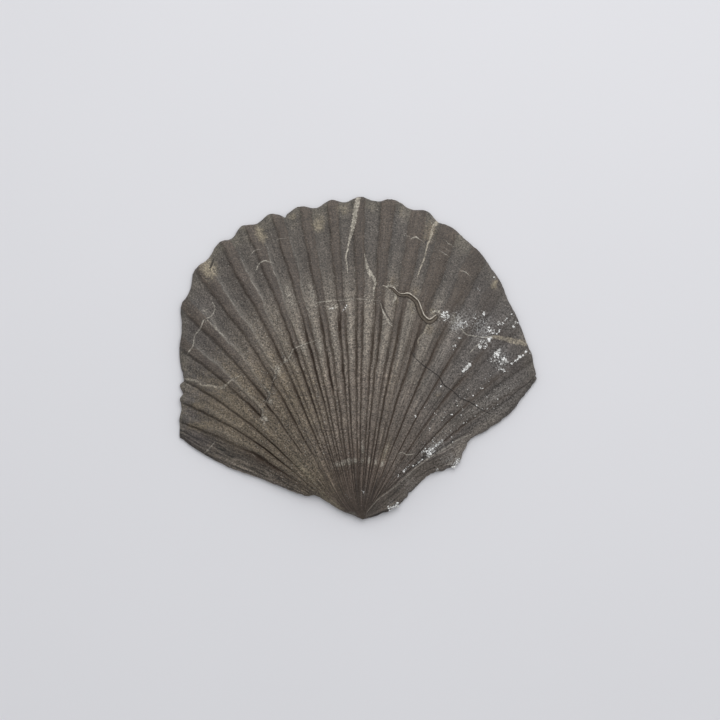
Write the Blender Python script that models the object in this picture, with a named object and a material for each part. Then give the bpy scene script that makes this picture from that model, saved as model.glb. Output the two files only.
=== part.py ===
"""Fossil scallop: one valve of a ribbed scallop shell, turned to dark stone, lying flat side down.

The whole fossil is one piece of stone, so it is one object.  The valve is modelled as a fan that
opens from the beak.  A place on the fan is given by two numbers:

    line   which radial line it lies on: 0 is the left edge, 1 to 20 are the rib crests from left to
           right, 21 is the foot of the right flank and 22 is the right edge
    share  how far out along that line it lies, from 0 at the beak to 1 at the growing margin

Bearings are in degrees, clockwise from +Y as seen from above, and radii are measured from the beak.
The ribs, the grooves beside them and the scalloped margin follow from line and share alone.  An
encrusting worm tube is swept along its own route and joined to the valve.
"""

import bpy
import bmesh
import numpy as np
from mathutils import Matrix, Vector
from mathutils.bvhtree import BVHTree

MM = 0.001

# Heights above the resting face
DOME_RISE = 15.8 * MM
DOME_POWERS = (2.2, 2.6, 4.0)
HINGE_RIM_Z = 2.9 * MM
MARGIN_RIM_Z = 2.2 * MM
RIM_FALL = (0.2, 0.95)
LIP_Z = 0.6 * MM
LEDGE_DROP = 0.9 * MM

# The rib lines
RIB_CREST_BEARINGS = (-61.1, -55.8, -50.5, -44.7, -38.5, -32.1, -26.0, -21.0, -16.1, -11.1,
                      -6.0, -1.1, 4.0, 9.6, 15.3, 22.0, 28.4, 34.6, 43.7, 49.4)
RIB_COUNT = len(RIB_CREST_BEARINGS)
BEARING_CIRCLE = 78.3 * MM
OUTWARD_CURL = 15.0
OUTWARD_SPREAD = 2.5
CURL_BEARING = 60.0
HINGE_OFFSET_LEFT = 8.5 * MM
HINGE_OFFSET_RIGHT = -2.0 * MM
HINGE_OFFSET_TURN = (-8.0, 12.0)
BEAK_RADIUS = 9.0 * MM
CROWDING = 4.5
CROWDING_TO = (12.0 * MM, 45.0 * MM)
CROWDING_OUTSIDE = 0.25
LINE_GAP = 0.3

# The outline: (radius, bearing) along both sides, and (bearing, radius) along the margin
LEFT_SIDE = ((0.0, -66.0), (8.4, -68.0), (14.5, -64.2), (20.2, -63.6), (24.0, -67.6),
             (31.0, -68.5), (42.0, -68.2), (55.0, -68.8), (66.0, -67.8), (78.2, -66.0))
RIGHT_SIDE = ((0.0, 78.0), (9.4, 75.0), (15.7, 68.0), (21.1, 62.0), (27.5, 57.2), (33.3, 57.3),
              (40.0, 60.3), (43.0, 60.0), (46.5, 57.4), (52.0, 53.6), (58.5, 54.3), (66.0, 54.6),
              (73.5, 54.0), (80.5, 52.5), (87.7, 51.2))
MARGIN = ((-66.0, 78.4), (-56.0, 85.8), (-50.0, 92.5), (-42.0, 106.6), (-34.0, 117.0),
          (-24.0, 123.0), (-10.0, 124.4), (5.0, 125.4), (14.0, 121.3), (26.0, 112.0),
          (36.0, 100.8), (46.0, 92.2), (51.2, 87.7))
LEDGE_LINE = ((0.0, 35.0), (9.0, 39.6), (14.0, 42.0), (21.0, 44.3), (30.5, 46.7), (41.0, 51.0),
              (48.0, 52.4), (53.0, 52.9), (66.0, 53.9), (73.5, 53.3), (87.7, 50.4))
SCALLOP = 1.5 * MM
SCALLOP_WORN = 0.3 * MM
SCALLOP_FROM_TO = (-50.0, 12.0)
SCALLOP_SHIFT = ((2.0, 0.0), (3.0, -0.6), (4.0, -0.2), (6.0, -0.1), (8.0, -0.26), (10.0, -0.15),
                 (12.5, 0.1), (14.0, 0.3), (16.0, 0.1))

# Rib relief
GROOVE_DEPTH = 1.15 * MM
LEFT_GROOVE_AT = ((1.0, 0.12), (3.0, 0.11), (6.0, 0.14), (9.0, 0.17), (13.0, 0.21), (20.0, 0.18))
RIGHT_GROOVE_AT = ((1.0, 0.2), (9.0, 0.18), (15.0, 0.16), (16.0, 0.12), (17.0, 0.07), (18.0, 0.07),
                   (19.0, 0.0), (20.0, 0.09))
GROOVE_WIDTH = 0.062
RIBLET_SINK = 0.30 * MM
RIB_RISE = 0.75 * MM
RIB_HALF_WIDTH = 0.27
RIB_FOOT_DEPTH = 0.40 * MM
RELIEF_FULL_AT = 48.0 * MM
RELIEF_CHANGE = (0.56, 0.82)
WORN_SIDE = 0.6
FAINT_SIDE = 0.8

# The underside
UNDER_INSET = 6.0 * MM
UNDER_FACET_ANGLE = 0.035
WALL_LEAN = 0.5 * MM

# The encrusting worm tube: its route in (x, y) from the beak, and its section
WORM_ROUTE = ((10.6, 90.2), (13.0, 89.6), (16.4, 87.9), (20.4, 86.9), (22.6, 84.6), (24.0, 81.4),
              (26.2, 78.7), (28.6, 78.4), (30.8, 80.4))
WORM_RADIUS = 0.95 * MM
WORM_SUNK = 0.8 * MM
WORM_SIDES = 8
WORM_POINTS = 22

# The grid that carries the fan
SHOULDER_STEP = 0.11
LEFT_FLANK_LINES = (0.0, 0.16, 0.34, 0.5)
RIGHT_FLANK_LINES = (20.75, 20.93, 21.1, 21.4, 21.7, 22.0)
ROW_SHARES = (0.0, 0.045, 0.085, 0.125, 0.165, 0.205, 0.245, 0.285, 0.325, 0.365, 0.405, 0.45,
              0.495, 0.54, 0.585, 0.63, 0.675, 0.72, 0.765, 0.81, 0.855, 0.90, 0.935, 0.97, 1.0)
MERGE = 1e-6

STONE_COLOUR = (0.105, 0.09, 0.078, 1.0)
STONE_ROUGHNESS = 0.72


def ease(low, high, value):
    """A smooth step from 0 at low to 1 at high."""
    t = np.clip((value - low) / (high - low), 0.0, 1.0)
    return t * t * (3.0 - 2.0 * t)


def bell(distance, width):
    """A rounded bump of height 1 that fades over width to both sides."""
    return np.exp(-((distance / width) ** 2))


def through(points, value):
    """The smooth curve through hand-placed (x, y) points, read at x = value.

    Each stretch is a cubic whose end slopes are those of the chords across its neighbours.
    """
    x, y = np.array(points, float).T
    slope = np.gradient(y, x)
    value = np.clip(value, x[0], x[-1])
    i = np.clip(np.searchsorted(x, value, side="right") - 1, 0, len(x) - 2)
    span = x[i + 1] - x[i]
    t = (value - x[i]) / span
    return ((1 + 2 * t) * (1 - t) ** 2 * y[i] + t * (1 - t) ** 2 * span * slope[i]
            + t * t * (3 - 2 * t) * y[i + 1] - t * t * (1 - t) * span * slope[i + 1])


def rib_line_bearing(crest, radius):
    """The bearing, at a radius, of the rib line that crosses the bearing circle at crest.

    A line curls outwards with radius, and starts a little to one side of the beak on the hinge.
    """
    turn = crest / CURL_BEARING
    curl = OUTWARD_CURL * turn * np.abs(turn) + OUTWARD_SPREAD * turn
    middle, width = HINGE_OFFSET_TURN
    left_share = 1.0 / (1.0 + np.exp((crest - middle) / width))
    offset = HINGE_OFFSET_RIGHT + (HINGE_OFFSET_LEFT - HINGE_OFFSET_RIGHT) * left_share
    around = np.hypot(radius, BEAK_RADIUS)
    return (crest + curl * (radius / BEARING_CIRCLE - 1.0)
            - np.degrees(offset * (1.0 / around - 1.0 / BEARING_CIRCLE)))


def soft_above_zero(value, softness):
    """Keeps a value above zero, and leaves it as it is where it is well above."""
    return softness * np.logaddexp(0.0, value / softness)


def line_bearings(radius):
    """The bearings of all 23 fan lines at a radius, from the left edge to the right edge.

    Towards the beak the rib lines crowd together softly where they would leave the outline.
    """
    left = through(LEFT_SIDE, radius / MM)
    right = through(RIGHT_SIDE, radius / MM)
    foot = np.minimum(through(LEDGE_LINE, radius / MM), right - LINE_GAP)
    order = np.arange(1, RIB_COUNT + 1)
    low = left + LINE_GAP * order
    high = foot - LINE_GAP * (RIB_COUNT + 1 - order)
    crowding = CROWDING * (1.0 - ease(*CROWDING_TO, radius)) + CROWDING_OUTSIDE
    ribs = np.array([rib_line_bearing(crest, radius) for crest in RIB_CREST_BEARINGS])
    ribs = low + soft_above_zero(ribs - low, crowding)
    ribs = high - soft_above_zero(high - ribs, crowding)
    return np.concatenate(([left], ribs, [foot, right]))


def bearing_at(line, radius):
    """The bearing of a fan line, whole or between two lines, at a radius."""
    bearings = line_bearings(radius)
    return np.interp(line, np.arange(len(bearings)), bearings)


def rib_phase(line):
    """How far a fan line lies from the nearest rib crest, from -0.5 to 0.5 of a rib's spacing."""
    return line - np.clip(np.round(line), 1, RIB_COUNT)


def margin_radius(line):
    """The radius at which a fan line meets the scalloped growing margin."""
    radius = BEARING_CIRCLE
    for _ in range(12):
        bearing = bearing_at(line, radius)
        radius = through(MARGIN, bearing) * MM
    first, last = SCALLOP_FROM_TO
    fresh = ease(first - 12.0, first, bearing) * (1.0 - ease(last, last + 8.0, bearing))
    depth = SCALLOP_WORN + (SCALLOP - SCALLOP_WORN) * fresh
    on_ribs = ease(0.0, 1.0, line) * (1.0 - ease(RIB_COUNT, RIB_COUNT + 1, line))
    phase = rib_phase(line) - through(SCALLOP_SHIFT, line)
    return radius + depth * on_ribs * (0.6 * np.cos(2 * np.pi * phase) - 0.1)


def groove_places(line):
    """Where a rib's left and right grooves lie, in rib spacings to each side of its crest."""
    rib = np.clip(np.round(line), 1, RIB_COUNT)
    return through(LEFT_GROOVE_AT, rib), through(RIGHT_GROOVE_AT, rib)


def rib_relief(line, share, radius):
    """The height that the ribs add to the smooth valve.

    Near the beak each rib is a thin riblet between two narrow grooves, and the bands between the
    ribs are broad and flat.  Towards the margin each rib widens into a low round fold.
    """
    phase = rib_phase(line)
    side = np.clip((line - 0.5 * RIB_COUNT) / (0.5 * RIB_COUNT), -1.0, 1.0)
    left_share = 1.0 - min(max(side, 0.0), FAINT_SIDE)
    right_share = 1.0 - min(max(-1.3 * side, 0.0), FAINT_SIDE)
    left_at, right_at = groove_places(line)
    left_groove = bell(phase + left_at, GROOVE_WIDTH) * left_share
    right_groove = bell(phase - right_at, GROOVE_WIDTH) * right_share
    middle = (right_at - left_at) / 2.0
    riblet = bell(phase - middle, (left_at + right_at) / 2.0 + GROOVE_WIDTH)
    inner = -GROOVE_DEPTH * (left_groove + right_groove) - RIBLET_SINK * riblet
    fold = np.cos(np.clip(phase / RIB_HALF_WIDTH, -1.0, 1.0) * np.pi / 2) ** 1.3
    foot = bell(np.abs(phase) - RIB_HALF_WIDTH - 0.01, 0.05)
    outer = RIB_RISE * fold - RIB_FOOT_DEPTH * foot
    outwards = ease(*RELIEF_CHANGE, share)
    depth = np.minimum(radius / RELIEF_FULL_AT, 1.0) ** 0.8
    on_ribs = ease(0.3, 0.8, line) * (1.0 - ease(RIB_COUNT + 0.3, RIB_COUNT + 0.9, line))
    worn = 1.0 - (1.0 - WORN_SIDE) * ease(0.72 * RIB_COUNT, 0.9 * RIB_COUNT, line)
    return (inner + (outer - inner) * outwards) * depth * on_ribs * worn


def rim_height(share):
    """The height of the smooth rim: thick at the hinge, thinner towards the growing margin."""
    return HINGE_RIM_Z + (MARGIN_RIM_Z - HINGE_RIM_Z) * ease(*RIM_FALL, share)


def top_height(line, share, radius):
    """The height of the upper surface: a low dome that falls to the rim, with the ribs on it."""
    bearings = line_bearings(radius)
    sideways = 2.0 * (bearing_at(line, radius) - bearings[0]) / (bearings[-1] - bearings[0]) - 1.0
    side_power, margin_power, beak_power = DOME_POWERS
    across = 1.0 - np.abs(np.clip(sideways, -1.0, 1.0)) ** side_power
    along = (1.0 - share ** margin_power) * (1.0 - (1.0 - share) ** beak_power)
    outside = ease(RIB_COUNT + 0.75, RIB_COUNT + 1.1, line)
    ledge = LEDGE_DROP * outside * (1.0 - ease(0.45, 0.6, share))
    smooth = rim_height(share) - ledge + DOME_RISE * across * along
    return smooth + rib_relief(line, share, radius)


def under_height(edge_distance):
    """The height of the underside: flat stone, lifting to the lip near the outline."""
    return LIP_Z * (1.0 - ease(0.0, UNDER_INSET, edge_distance))


def place(line, radius):
    """The (x, y) of a fan line at a radius, measured from the beak."""
    bearing = np.radians(bearing_at(line, radius))
    return radius * np.sin(bearing), radius * np.cos(bearing)


def distance_to_edge(line, radius, margin):
    """About how far a place lies inside the outline: the least of the ways to the three edges."""
    bearings = line_bearings(radius)
    bearing = np.interp(line, np.arange(len(bearings)), bearings)
    to_left = radius * np.radians(bearing - bearings[0])
    to_right = radius * np.radians(bearings[-1] - bearing)
    return max(0.0, min(to_left, to_right, margin - radius))


def fan_lines():
    """The fan lines that carry the grid's columns, closest beside the grooves."""
    ribs = np.arange(1.0, RIB_COUNT + 1.0)
    left_at, right_at = groove_places(ribs)
    steps = (-left_at - SHOULDER_STEP, -left_at, (right_at - left_at) / 2.0, right_at,
             right_at + SHOULDER_STEP, np.full(RIB_COUNT, 0.5))
    between = (ribs + np.array(steps)).T.ravel()
    return np.array([*LEFT_FLANK_LINES, *between, *RIGHT_FLANK_LINES])


def bend_into_fan(bm, lines):
    """Moves the corners of a flat square grid to their places on the valve's upper surface.

    Columns follow the fan lines and rows the shares.  Returns each corner's distance from the edge.
    """
    margins = [margin_radius(line) for line in lines]
    inside = {}
    for vertex in bm.verts:
        column = round((vertex.co.x + 1.0) / 2.0 * (len(lines) - 1))
        share = ROW_SHARES[round((vertex.co.y + 1.0) / 2.0 * (len(ROW_SHARES) - 1))]
        line, margin = lines[column], margins[column]
        radius = share * margin
        vertex.co = (*place(line, radius), top_height(line, share, radius))
        inside[vertex] = distance_to_edge(line, radius, margin)
    return inside


def add_underside(bm, inside):
    """Copies the upper surface down to the underside and joins the two round the rim."""
    middle = sum((vertex.co for vertex in inside), Vector()) / len(inside)
    copy = bmesh.ops.duplicate(bm, geom=list(bm.verts) + list(bm.faces))
    for top, distance in inside.items():
        inwards = (middle - top.co).to_2d().normalized()
        x, y = top.co.to_2d() + (WALL_LEAN if distance == 0.0 else 0.0) * inwards
        copy["vert_map"][top].co = (x, y, under_height(distance))
    under = [item for item in copy["geom"] if isinstance(item, bmesh.types.BMFace)]
    bmesh.ops.reverse_faces(bm, faces=under)
    rims = [edge for edge in bm.edges if edge.is_boundary]
    bmesh.ops.bridge_loops(bm, edges=rims)
    bmesh.ops.remove_doubles(bm, verts=bm.verts, dist=MERGE)


def simplify_underside(bm):
    """Joins the underside's facets wherever they lie nearly in one plane."""
    under = [face for face in bm.faces if face.normal.z < -0.5]
    verts = {vertex for face in under for vertex in face.verts
             if all(other.normal.z < -0.5 for other in vertex.link_faces)}
    edges = {edge for face in under for edge in face.edges
             if all(other.normal.z < -0.5 for other in edge.link_faces)}
    bmesh.ops.dissolve_limit(bm, angle_limit=UNDER_FACET_ANGLE, verts=list(verts),
                             edges=list(edges))


def valve_mesh():
    """The closed valve: a grid bent into the fan, with an underside below it."""
    lines = fan_lines()
    bm = bmesh.new()
    bmesh.ops.create_grid(bm, x_segments=len(lines) - 1, y_segments=len(ROW_SHARES) - 1, size=1.0)
    add_underside(bm, bend_into_fan(bm, lines))
    bmesh.ops.recalc_face_normals(bm, faces=bm.faces)
    simplify_underside(bm)
    bmesh.ops.triangulate(bm, faces=bm.faces, quad_method="BEAUTY", ngon_method="EAR_CLIP")
    mesh = bpy.data.meshes.new("fossil_scallop")
    bm.to_mesh(mesh)
    bm.free()
    return mesh


def worm_tube_mesh(valve):
    """The worm tube: a round section swept along its route, half sunk in the valve's surface."""
    surface = BVHTree.FromPolygons([vertex.co for vertex in valve.vertices],
                                   [polygon.vertices for polygon in valve.polygons])
    steps = np.arange(len(WORM_ROUTE))
    fine = np.linspace(0.0, steps[-1], WORM_POINTS)
    x_mm, y_mm = (through(list(zip(steps, values)), fine) for values in zip(*WORM_ROUTE))
    curve = bpy.data.curves.new("worm_tube", "CURVE")
    curve.dimensions = "3D"
    curve.bevel_depth = WORM_RADIUS
    curve.bevel_resolution = WORM_SIDES // 4
    curve.use_fill_caps = True
    spline = curve.splines.new("POLY")
    spline.points.add(WORM_POINTS - 1)
    for point, x, y in zip(spline.points, x_mm * MM, y_mm * MM):
        hit = surface.ray_cast(Vector((x, y, 1.0)), Vector((0.0, 0.0, -1.0)))[0]
        point.co = (x, y, hit.z + WORM_RADIUS - WORM_SUNK, 1.0)
    tube = bpy.data.objects.new("worm_tube", curve)
    bpy.context.scene.collection.objects.link(tube)
    mesh = bpy.data.meshes.new_from_object(tube)
    bpy.data.objects.remove(tube)
    bm = bmesh.new()
    bm.from_mesh(mesh)
    bmesh.ops.remove_doubles(bm, verts=bm.verts, dist=MERGE)
    bmesh.ops.recalc_face_normals(bm, faces=bm.faces)
    bm.to_mesh(mesh)
    bm.free()
    return mesh


def joined(valve, tube):
    """The valve's mesh with the worm tube grown onto it, as one closed surface."""
    body = bpy.data.objects.new("body", valve)
    tool = bpy.data.objects.new("tool", tube)
    bpy.context.scene.collection.objects.link(body)
    bpy.context.scene.collection.objects.link(tool)
    union = body.modifiers.new("union", "BOOLEAN")
    union.operation = "UNION"
    union.solver = "EXACT"
    union.object = tool
    depsgraph = bpy.context.evaluated_depsgraph_get()
    mesh = bpy.data.meshes.new_from_object(body.evaluated_get(depsgraph))
    bpy.data.objects.remove(body)
    bpy.data.objects.remove(tool)
    return mesh


def centre_footprint(mesh):
    """Moves the mesh so that the middle of its footprint is on the Z axis."""
    corners = np.array([vertex.co for vertex in mesh.vertices])
    middle = (corners.min(axis=0) + corners.max(axis=0)) / 2.0
    mesh.transform(Matrix.Translation((-middle[0], -middle[1], 0.0)))


def stone_material():
    """Dark grey-brown stone with a dull surface."""
    material = bpy.data.materials.new("dark_stone")
    material.use_nodes = True
    shader = material.node_tree.nodes["Principled BSDF"]
    shader.inputs["Base Color"].default_value = STONE_COLOUR
    shader.inputs["Roughness"].default_value = STONE_ROUGHNESS
    shader.inputs["Metallic"].default_value = 0.0
    return material


def clear_scene():
    """Removes whatever the file held before."""
    for thing in list(bpy.data.objects):
        bpy.data.objects.remove(thing)


def main():
    """Builds the fossil with its flat side on z = 0 and its footprint centred on the origin."""
    clear_scene()
    valve = valve_mesh()
    mesh = joined(valve, worm_tube_mesh(valve))
    centre_footprint(mesh)
    mesh.shade_smooth()
    mesh.materials.clear()
    mesh.materials.append(stone_material())
    mesh.name = "fossil_scallop"
    fossil = bpy.data.objects.new("fossil_scallop", mesh)
    bpy.context.scene.collection.objects.link(fossil)


main()
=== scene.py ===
"""Fossil scallop: how the dark stone valve looks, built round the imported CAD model.

A place on the valve's upper surface is given by two numbers.  The fan line says which radial line it
lies on: 0 is the left edge, 1 to 20 are the rib crests, 21 is the foot of the right flank and 22 is
the right edge.  The share says how far out it lies, from 0 at the beak to 1 at the growing margin.
Bearings are in degrees, clockwise from +Y as seen from above.  Routes and patches are given in
millimetres from the beak, and everything is moved to the CAD frame when its mesh is made.

A span is the start and end of a smooth step.  A window is two spans: where something comes in,
and where it goes out again.
"""

import logging
from dataclasses import dataclass, field
from enum import Enum

import bpy
import numpy as np
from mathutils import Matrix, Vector

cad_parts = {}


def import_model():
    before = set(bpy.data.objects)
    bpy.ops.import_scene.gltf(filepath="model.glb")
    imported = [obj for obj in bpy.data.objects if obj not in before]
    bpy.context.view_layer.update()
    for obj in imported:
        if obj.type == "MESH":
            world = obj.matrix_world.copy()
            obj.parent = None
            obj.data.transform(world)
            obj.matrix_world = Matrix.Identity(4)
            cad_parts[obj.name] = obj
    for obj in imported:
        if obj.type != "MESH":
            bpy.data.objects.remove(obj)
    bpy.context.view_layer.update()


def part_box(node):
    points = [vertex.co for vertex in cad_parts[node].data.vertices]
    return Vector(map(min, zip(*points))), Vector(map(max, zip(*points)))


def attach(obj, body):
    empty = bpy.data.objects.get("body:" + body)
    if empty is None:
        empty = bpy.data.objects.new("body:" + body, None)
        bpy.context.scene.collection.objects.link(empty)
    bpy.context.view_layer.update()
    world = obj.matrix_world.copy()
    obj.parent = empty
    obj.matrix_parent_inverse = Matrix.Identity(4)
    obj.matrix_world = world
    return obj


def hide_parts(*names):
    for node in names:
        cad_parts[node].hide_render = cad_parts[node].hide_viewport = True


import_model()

logging.basicConfig(level=logging.INFO, format="%(message)s")
LOG = logging.getLogger("fossil_scallop")

Array = np.ndarray
Points = tuple[tuple[float, float], ...]
Span = tuple[float, float]
Window = tuple[Span, Span]
Colour = tuple[float, float, float]
Socket = bpy.types.NodeSocket
Sockets = bpy.types.bpy_prop_collection
Value = float | tuple[float, ...] | Socket

MM = 0.001
NODE = "fossil_scallop"
BODY = "root"
RIB_COUNT = 20
FOOT_LINE = RIB_COUNT + 1
RIGHT_LINE = RIB_COUNT + 2
CHANNELS = ("grooves", "depths", "edges", "stains", "rubs", "growth", "cracks", "veins", "arcs")


def ease(low: float, high: float, value: Array) -> Array:
    """A smooth step: 0 up to low, 1 from high on, and 3t^2 - 2t^3 between them.

    Args:
        low: Where the step starts.
        high: Where the step ends.
        value: The values to read it at.

    Returns:
        The step's height at each value.
    """
    t = np.clip((value - low) / (high - low), 0.0, 1.0)
    return t * t * (3.0 - 2.0 * t)


def before(span: Span, value: Array) -> Array:
    """A smooth step down: 1 before a span and 0 beyond it."""
    return 1.0 - ease(*span, value)


def within(window: Window, value: Array) -> Array:
    """1 inside a window and 0 outside it: the product of a smooth step up and one down."""
    return ease(*window[0], value) * before(window[1], value)


def soft_above_zero(value: Array, softness: Array) -> Array:
    """Keeps values above zero: softness times the log of 1 plus e to value over softness."""
    return softness * np.logaddexp(0.0, value / softness)


def bell(distance: Array, width: float | Array) -> Array:
    """A rounded bump: e to the power of minus the square of distance over width."""
    return np.exp(-np.square(distance / width))


def lopsided(way: Array, left: float, right: float | Array) -> Array:
    """The distance from a line, times one factor on its left and another on its right."""
    return np.where(way < 0.0, -left * way, right * way)


def through(points: Points, value: Array) -> Array:
    """The smooth curve through given (x, y) points, read at x = value.

    Each stretch is the cubic whose end slopes are those of the chords across its neighbours.

    Args:
        points: The points, in order of x.
        value: Where to read the curve.

    Returns:
        The curve's y at each value, and at its end points beyond them.
    """
    x, y = np.array(points, float).T
    slope = np.gradient(y, x)
    value = np.clip(value, x[0], x[-1])
    i = np.clip(np.searchsorted(x, value, side="right") - 1, 0, len(x) - 2)
    span = x[i + 1] - x[i]
    t = (value - x[i]) / span
    return ((1 + 2 * t) * (1 - t) ** 2 * y[i] + t * (1 - t) ** 2 * span * slope[i]
            + t * t * (3 - 2 * t) * y[i + 1] - t * t * (1 - t) * span * slope[i + 1])


@dataclass(frozen=True)
class Fan:
    """The fan of rib lines inside the fossil's outline, flat, measured from the beak in metres."""

    crest_bearings: tuple[float, ...] = (
        -61.1, -55.8, -50.5, -44.7, -38.5, -32.1, -26.0, -21.0, -16.1, -11.1,
        -6.0, -1.1, 4.0, 9.6, 15.3, 22.0, 28.4, 34.6, 43.7, 49.4)
    bearing_circle: float = 78.3 * MM
    curl: float = 15.0
    spread: float = 2.5
    curl_bearing: float = 60.0
    hinge_left: float = 8.5 * MM
    hinge_right: float = -2.0 * MM
    hinge_turn: Span = (-8.0, 12.0)
    beak_radius: float = 9.0 * MM
    crowding: float = 4.5
    crowding_to: Span = (12.0 * MM, 45.0 * MM)
    least_crowding: float = 0.25
    line_gap: float = 0.3
    left_side: Points = (
        (0, -66), (8.4, -68), (14.5, -64.2), (20.2, -63.6), (24, -67.6), (31, -68.5),
        (42, -68.2), (55, -68.8), (66, -67.8), (78.2, -66))
    right_side: Points = (
        (0, 78), (9.4, 75), (15.7, 68), (21.1, 62), (27.5, 57.2), (33.3, 57.3),
        (40, 60.3), (43, 60), (46.5, 57.4), (52, 53.6), (58.5, 54.3), (66, 54.6),
        (73.5, 54), (80.5, 52.5), (87.7, 51.2))
    ledge: Points = (
        (0, 35), (9, 39.6), (14, 42), (21, 44.3), (30.5, 46.7), (41, 51), (48, 52.4),
        (53, 52.9), (66, 53.9), (73.5, 53.3), (87.7, 50.4))
    margin: Points = (
        (-66, 78.4), (-56, 85.8), (-50, 92.5), (-42, 106.6), (-34, 117),
        (-24, 123), (-10, 124.4), (5, 125.4), (14, 121.3), (26, 112),
        (36, 100.8), (46, 92.2), (51.2, 87.7))
    scallop: float = 1.5 * MM
    scallop_worn: float = 0.3 * MM
    scallop_fresh: Window = ((-62.0, -50.0), (12.0, 20.0))
    scallop_lines: Window = ((0.0, 1.0), (RIB_COUNT, FOOT_LINE))
    scallop_wave: float = 0.6
    scallop_level: float = -0.1
    scallop_shift: Points = (
        (2, 0), (3, -0.6), (4, -0.2), (6, -0.1), (8, -0.26), (10, -0.15),
        (12.5, 0.1), (14, 0.3), (16, 0.1))
    margin_rounds: int = 14
    outline_steps: int = 2201
    side_steps: int = 400

    def rib_bearing(self, crest: float, radius: Array) -> Array:
        """The bearing of one rib line: it curls outwards, and starts beside the beak on the hinge.

        Args:
            crest: The bearing at which the line crosses the bearing circle.
            radius: The radii to read it at.

        Returns:
            The bearing at each radius, in degrees.
        """
        turn = crest / self.curl_bearing
        curl = self.curl * turn * abs(turn) + self.spread * turn
        middle, width = self.hinge_turn
        left_share = 1.0 / (1.0 + np.exp((crest - middle) / width))
        offset = self.hinge_right + (self.hinge_left - self.hinge_right) * left_share
        around = np.hypot(radius, self.beak_radius)
        return (crest + curl * (radius / self.bearing_circle - 1.0)
                - np.degrees(offset * (1.0 / around - 1.0 / self.bearing_circle)))

    def line_bearings(self, radius: Array) -> Array:
        """The bearings of the 23 whole fan lines.

        Args:
            radius: The radii to read them at, in metres.

        Returns:
            The bearings in degrees, one line after another along a new first axis.
        """
        left = through(self.left_side, radius / MM)
        right = through(self.right_side, radius / MM)
        foot = np.minimum(through(self.ledge, radius / MM), right - self.line_gap)
        crowding = self.crowding * before(self.crowding_to, radius) + self.least_crowding
        lines = [left]
        for order, crest in enumerate(self.crest_bearings, start=1):
            low = left + self.line_gap * order
            high = foot - self.line_gap * (FOOT_LINE - order)
            rib = low + soft_above_zero(self.rib_bearing(crest, radius) - low, crowding)
            lines.append(high - soft_above_zero(high - rib, crowding))
        return np.stack(lines + [foot, right])

    @staticmethod
    def neighbours(bearings: Array, low: Array) -> tuple[Array, Array]:
        """Picks the bearings of the whole lines on either side of each place.

        Args:
            bearings: The bearings of the whole lines at each place.
            low: The number of the line on the place's left.

        Returns:
            The bearing of that line and of the next.
        """
        first, second = (np.take_along_axis(bearings, low[None] + i, axis=0)[0] for i in (0, 1))
        return first, second

    def bearing(self, line: Array, radius: Array) -> Array:
        """The bearing of any fan line, whole or between two whole ones.

        Args:
            line: The fan line, one for each radius.
            radius: The radii, in metres.

        Returns:
            The bearing at each radius, in degrees.
        """
        line, radius = np.broadcast_arrays(line, radius)
        bearings = self.line_bearings(radius)
        low = np.clip(np.floor(line).astype(int), 0, FOOT_LINE)
        first, second = self.neighbours(bearings, low)
        return first + (second - first) * (line - low)

    def phase(self, line: Array) -> Array:
        """How far a line lies from the nearest rib crest, in rib spacings."""
        return line - np.clip(np.round(line), 1, RIB_COUNT)

    def reach(self, line: Array) -> Array:
        """Finds where each fan line meets the growing margin.

        The smooth margin's radius there is found by rounds that each read it at the last bearing.
        Its scallops add a depth times a cosine of how far the line lies from a crest.

        Args:
            line: The fan lines.

        Returns:
            The radius of the margin on each, in metres.
        """
        radius = np.full_like(line, self.bearing_circle)
        for _ in range(self.margin_rounds):
            bearing = self.bearing(line, radius)
            radius = through(self.margin, bearing) * MM
        fresh = within(self.scallop_fresh, bearing)
        depth = self.scallop_worn + (self.scallop - self.scallop_worn) * fresh
        phase = self.phase(line) - through(self.scallop_shift, line)
        wave = self.scallop_wave * np.cos(2.0 * np.pi * phase) + self.scallop_level
        return radius + depth * within(self.scallop_lines, line) * wave

    def place(self, line: Array, radius: Array) -> Array:
        """The (x, y) of each place from the beak: radius times the sine and cosine of its bearing."""
        bearing = np.radians(self.bearing(line, radius))
        return np.stack((radius * np.sin(bearing), radius * np.cos(bearing)), axis=-1)

    def locate(self, xy: Array) -> tuple[Array, Array]:
        """Finds the fan line and radius of places given by their (x, y) from the beak.

        Args:
            xy: The places in metres, one a row.

        Returns:
            The fan line and the radius of each.
        """
        radius = np.hypot(xy[..., 0], xy[..., 1])
        bearing = np.degrees(np.arctan2(xy[..., 0], xy[..., 1]))
        bearings = self.line_bearings(radius)
        low = np.clip((bearings <= bearing).sum(axis=0) - 1, 0, FOOT_LINE)
        first, second = self.neighbours(bearings, low)
        return low + np.clip((bearing - first) / (second - first), 0.0, 1.0), radius

    def edge_distance(self, line: Array, radius: Array, reach: Array) -> Array:
        """About how far a place lies inside the outline: the least of the ways to the three edges.

        Args:
            line: The fan line of each place.
            radius: Its distance from the beak.
            reach: The radius of the margin on its line.

        Returns:
            The distance of each place in metres, 0 at the outline.
        """
        bearings = self.line_bearings(radius)
        bearing = self.bearing(line, radius)
        to_left = radius * np.radians(bearing - bearings[0])
        to_right = radius * np.radians(bearings[-1] - bearing)
        return np.maximum(0.0, np.minimum(np.minimum(to_left, to_right), reach - radius))

    def middle(self) -> Array:
        """Finds the middle of the outline's bounding box.

        Returns:
            Its (x, y) from the beak.
        """
        lines = np.linspace(0.0, RIGHT_LINE, self.outline_steps)
        share = np.linspace(0.0, 1.0, self.side_steps)
        sides = [self.place(np.full_like(share, line), share * self.reach(np.full(1, line)))
                 for line in (0.0, float(RIGHT_LINE))]
        outline = np.concatenate((self.place(lines, self.reach(lines)), *sides))
        return (outline.min(axis=0) + outline.max(axis=0)) / 2.0


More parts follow.
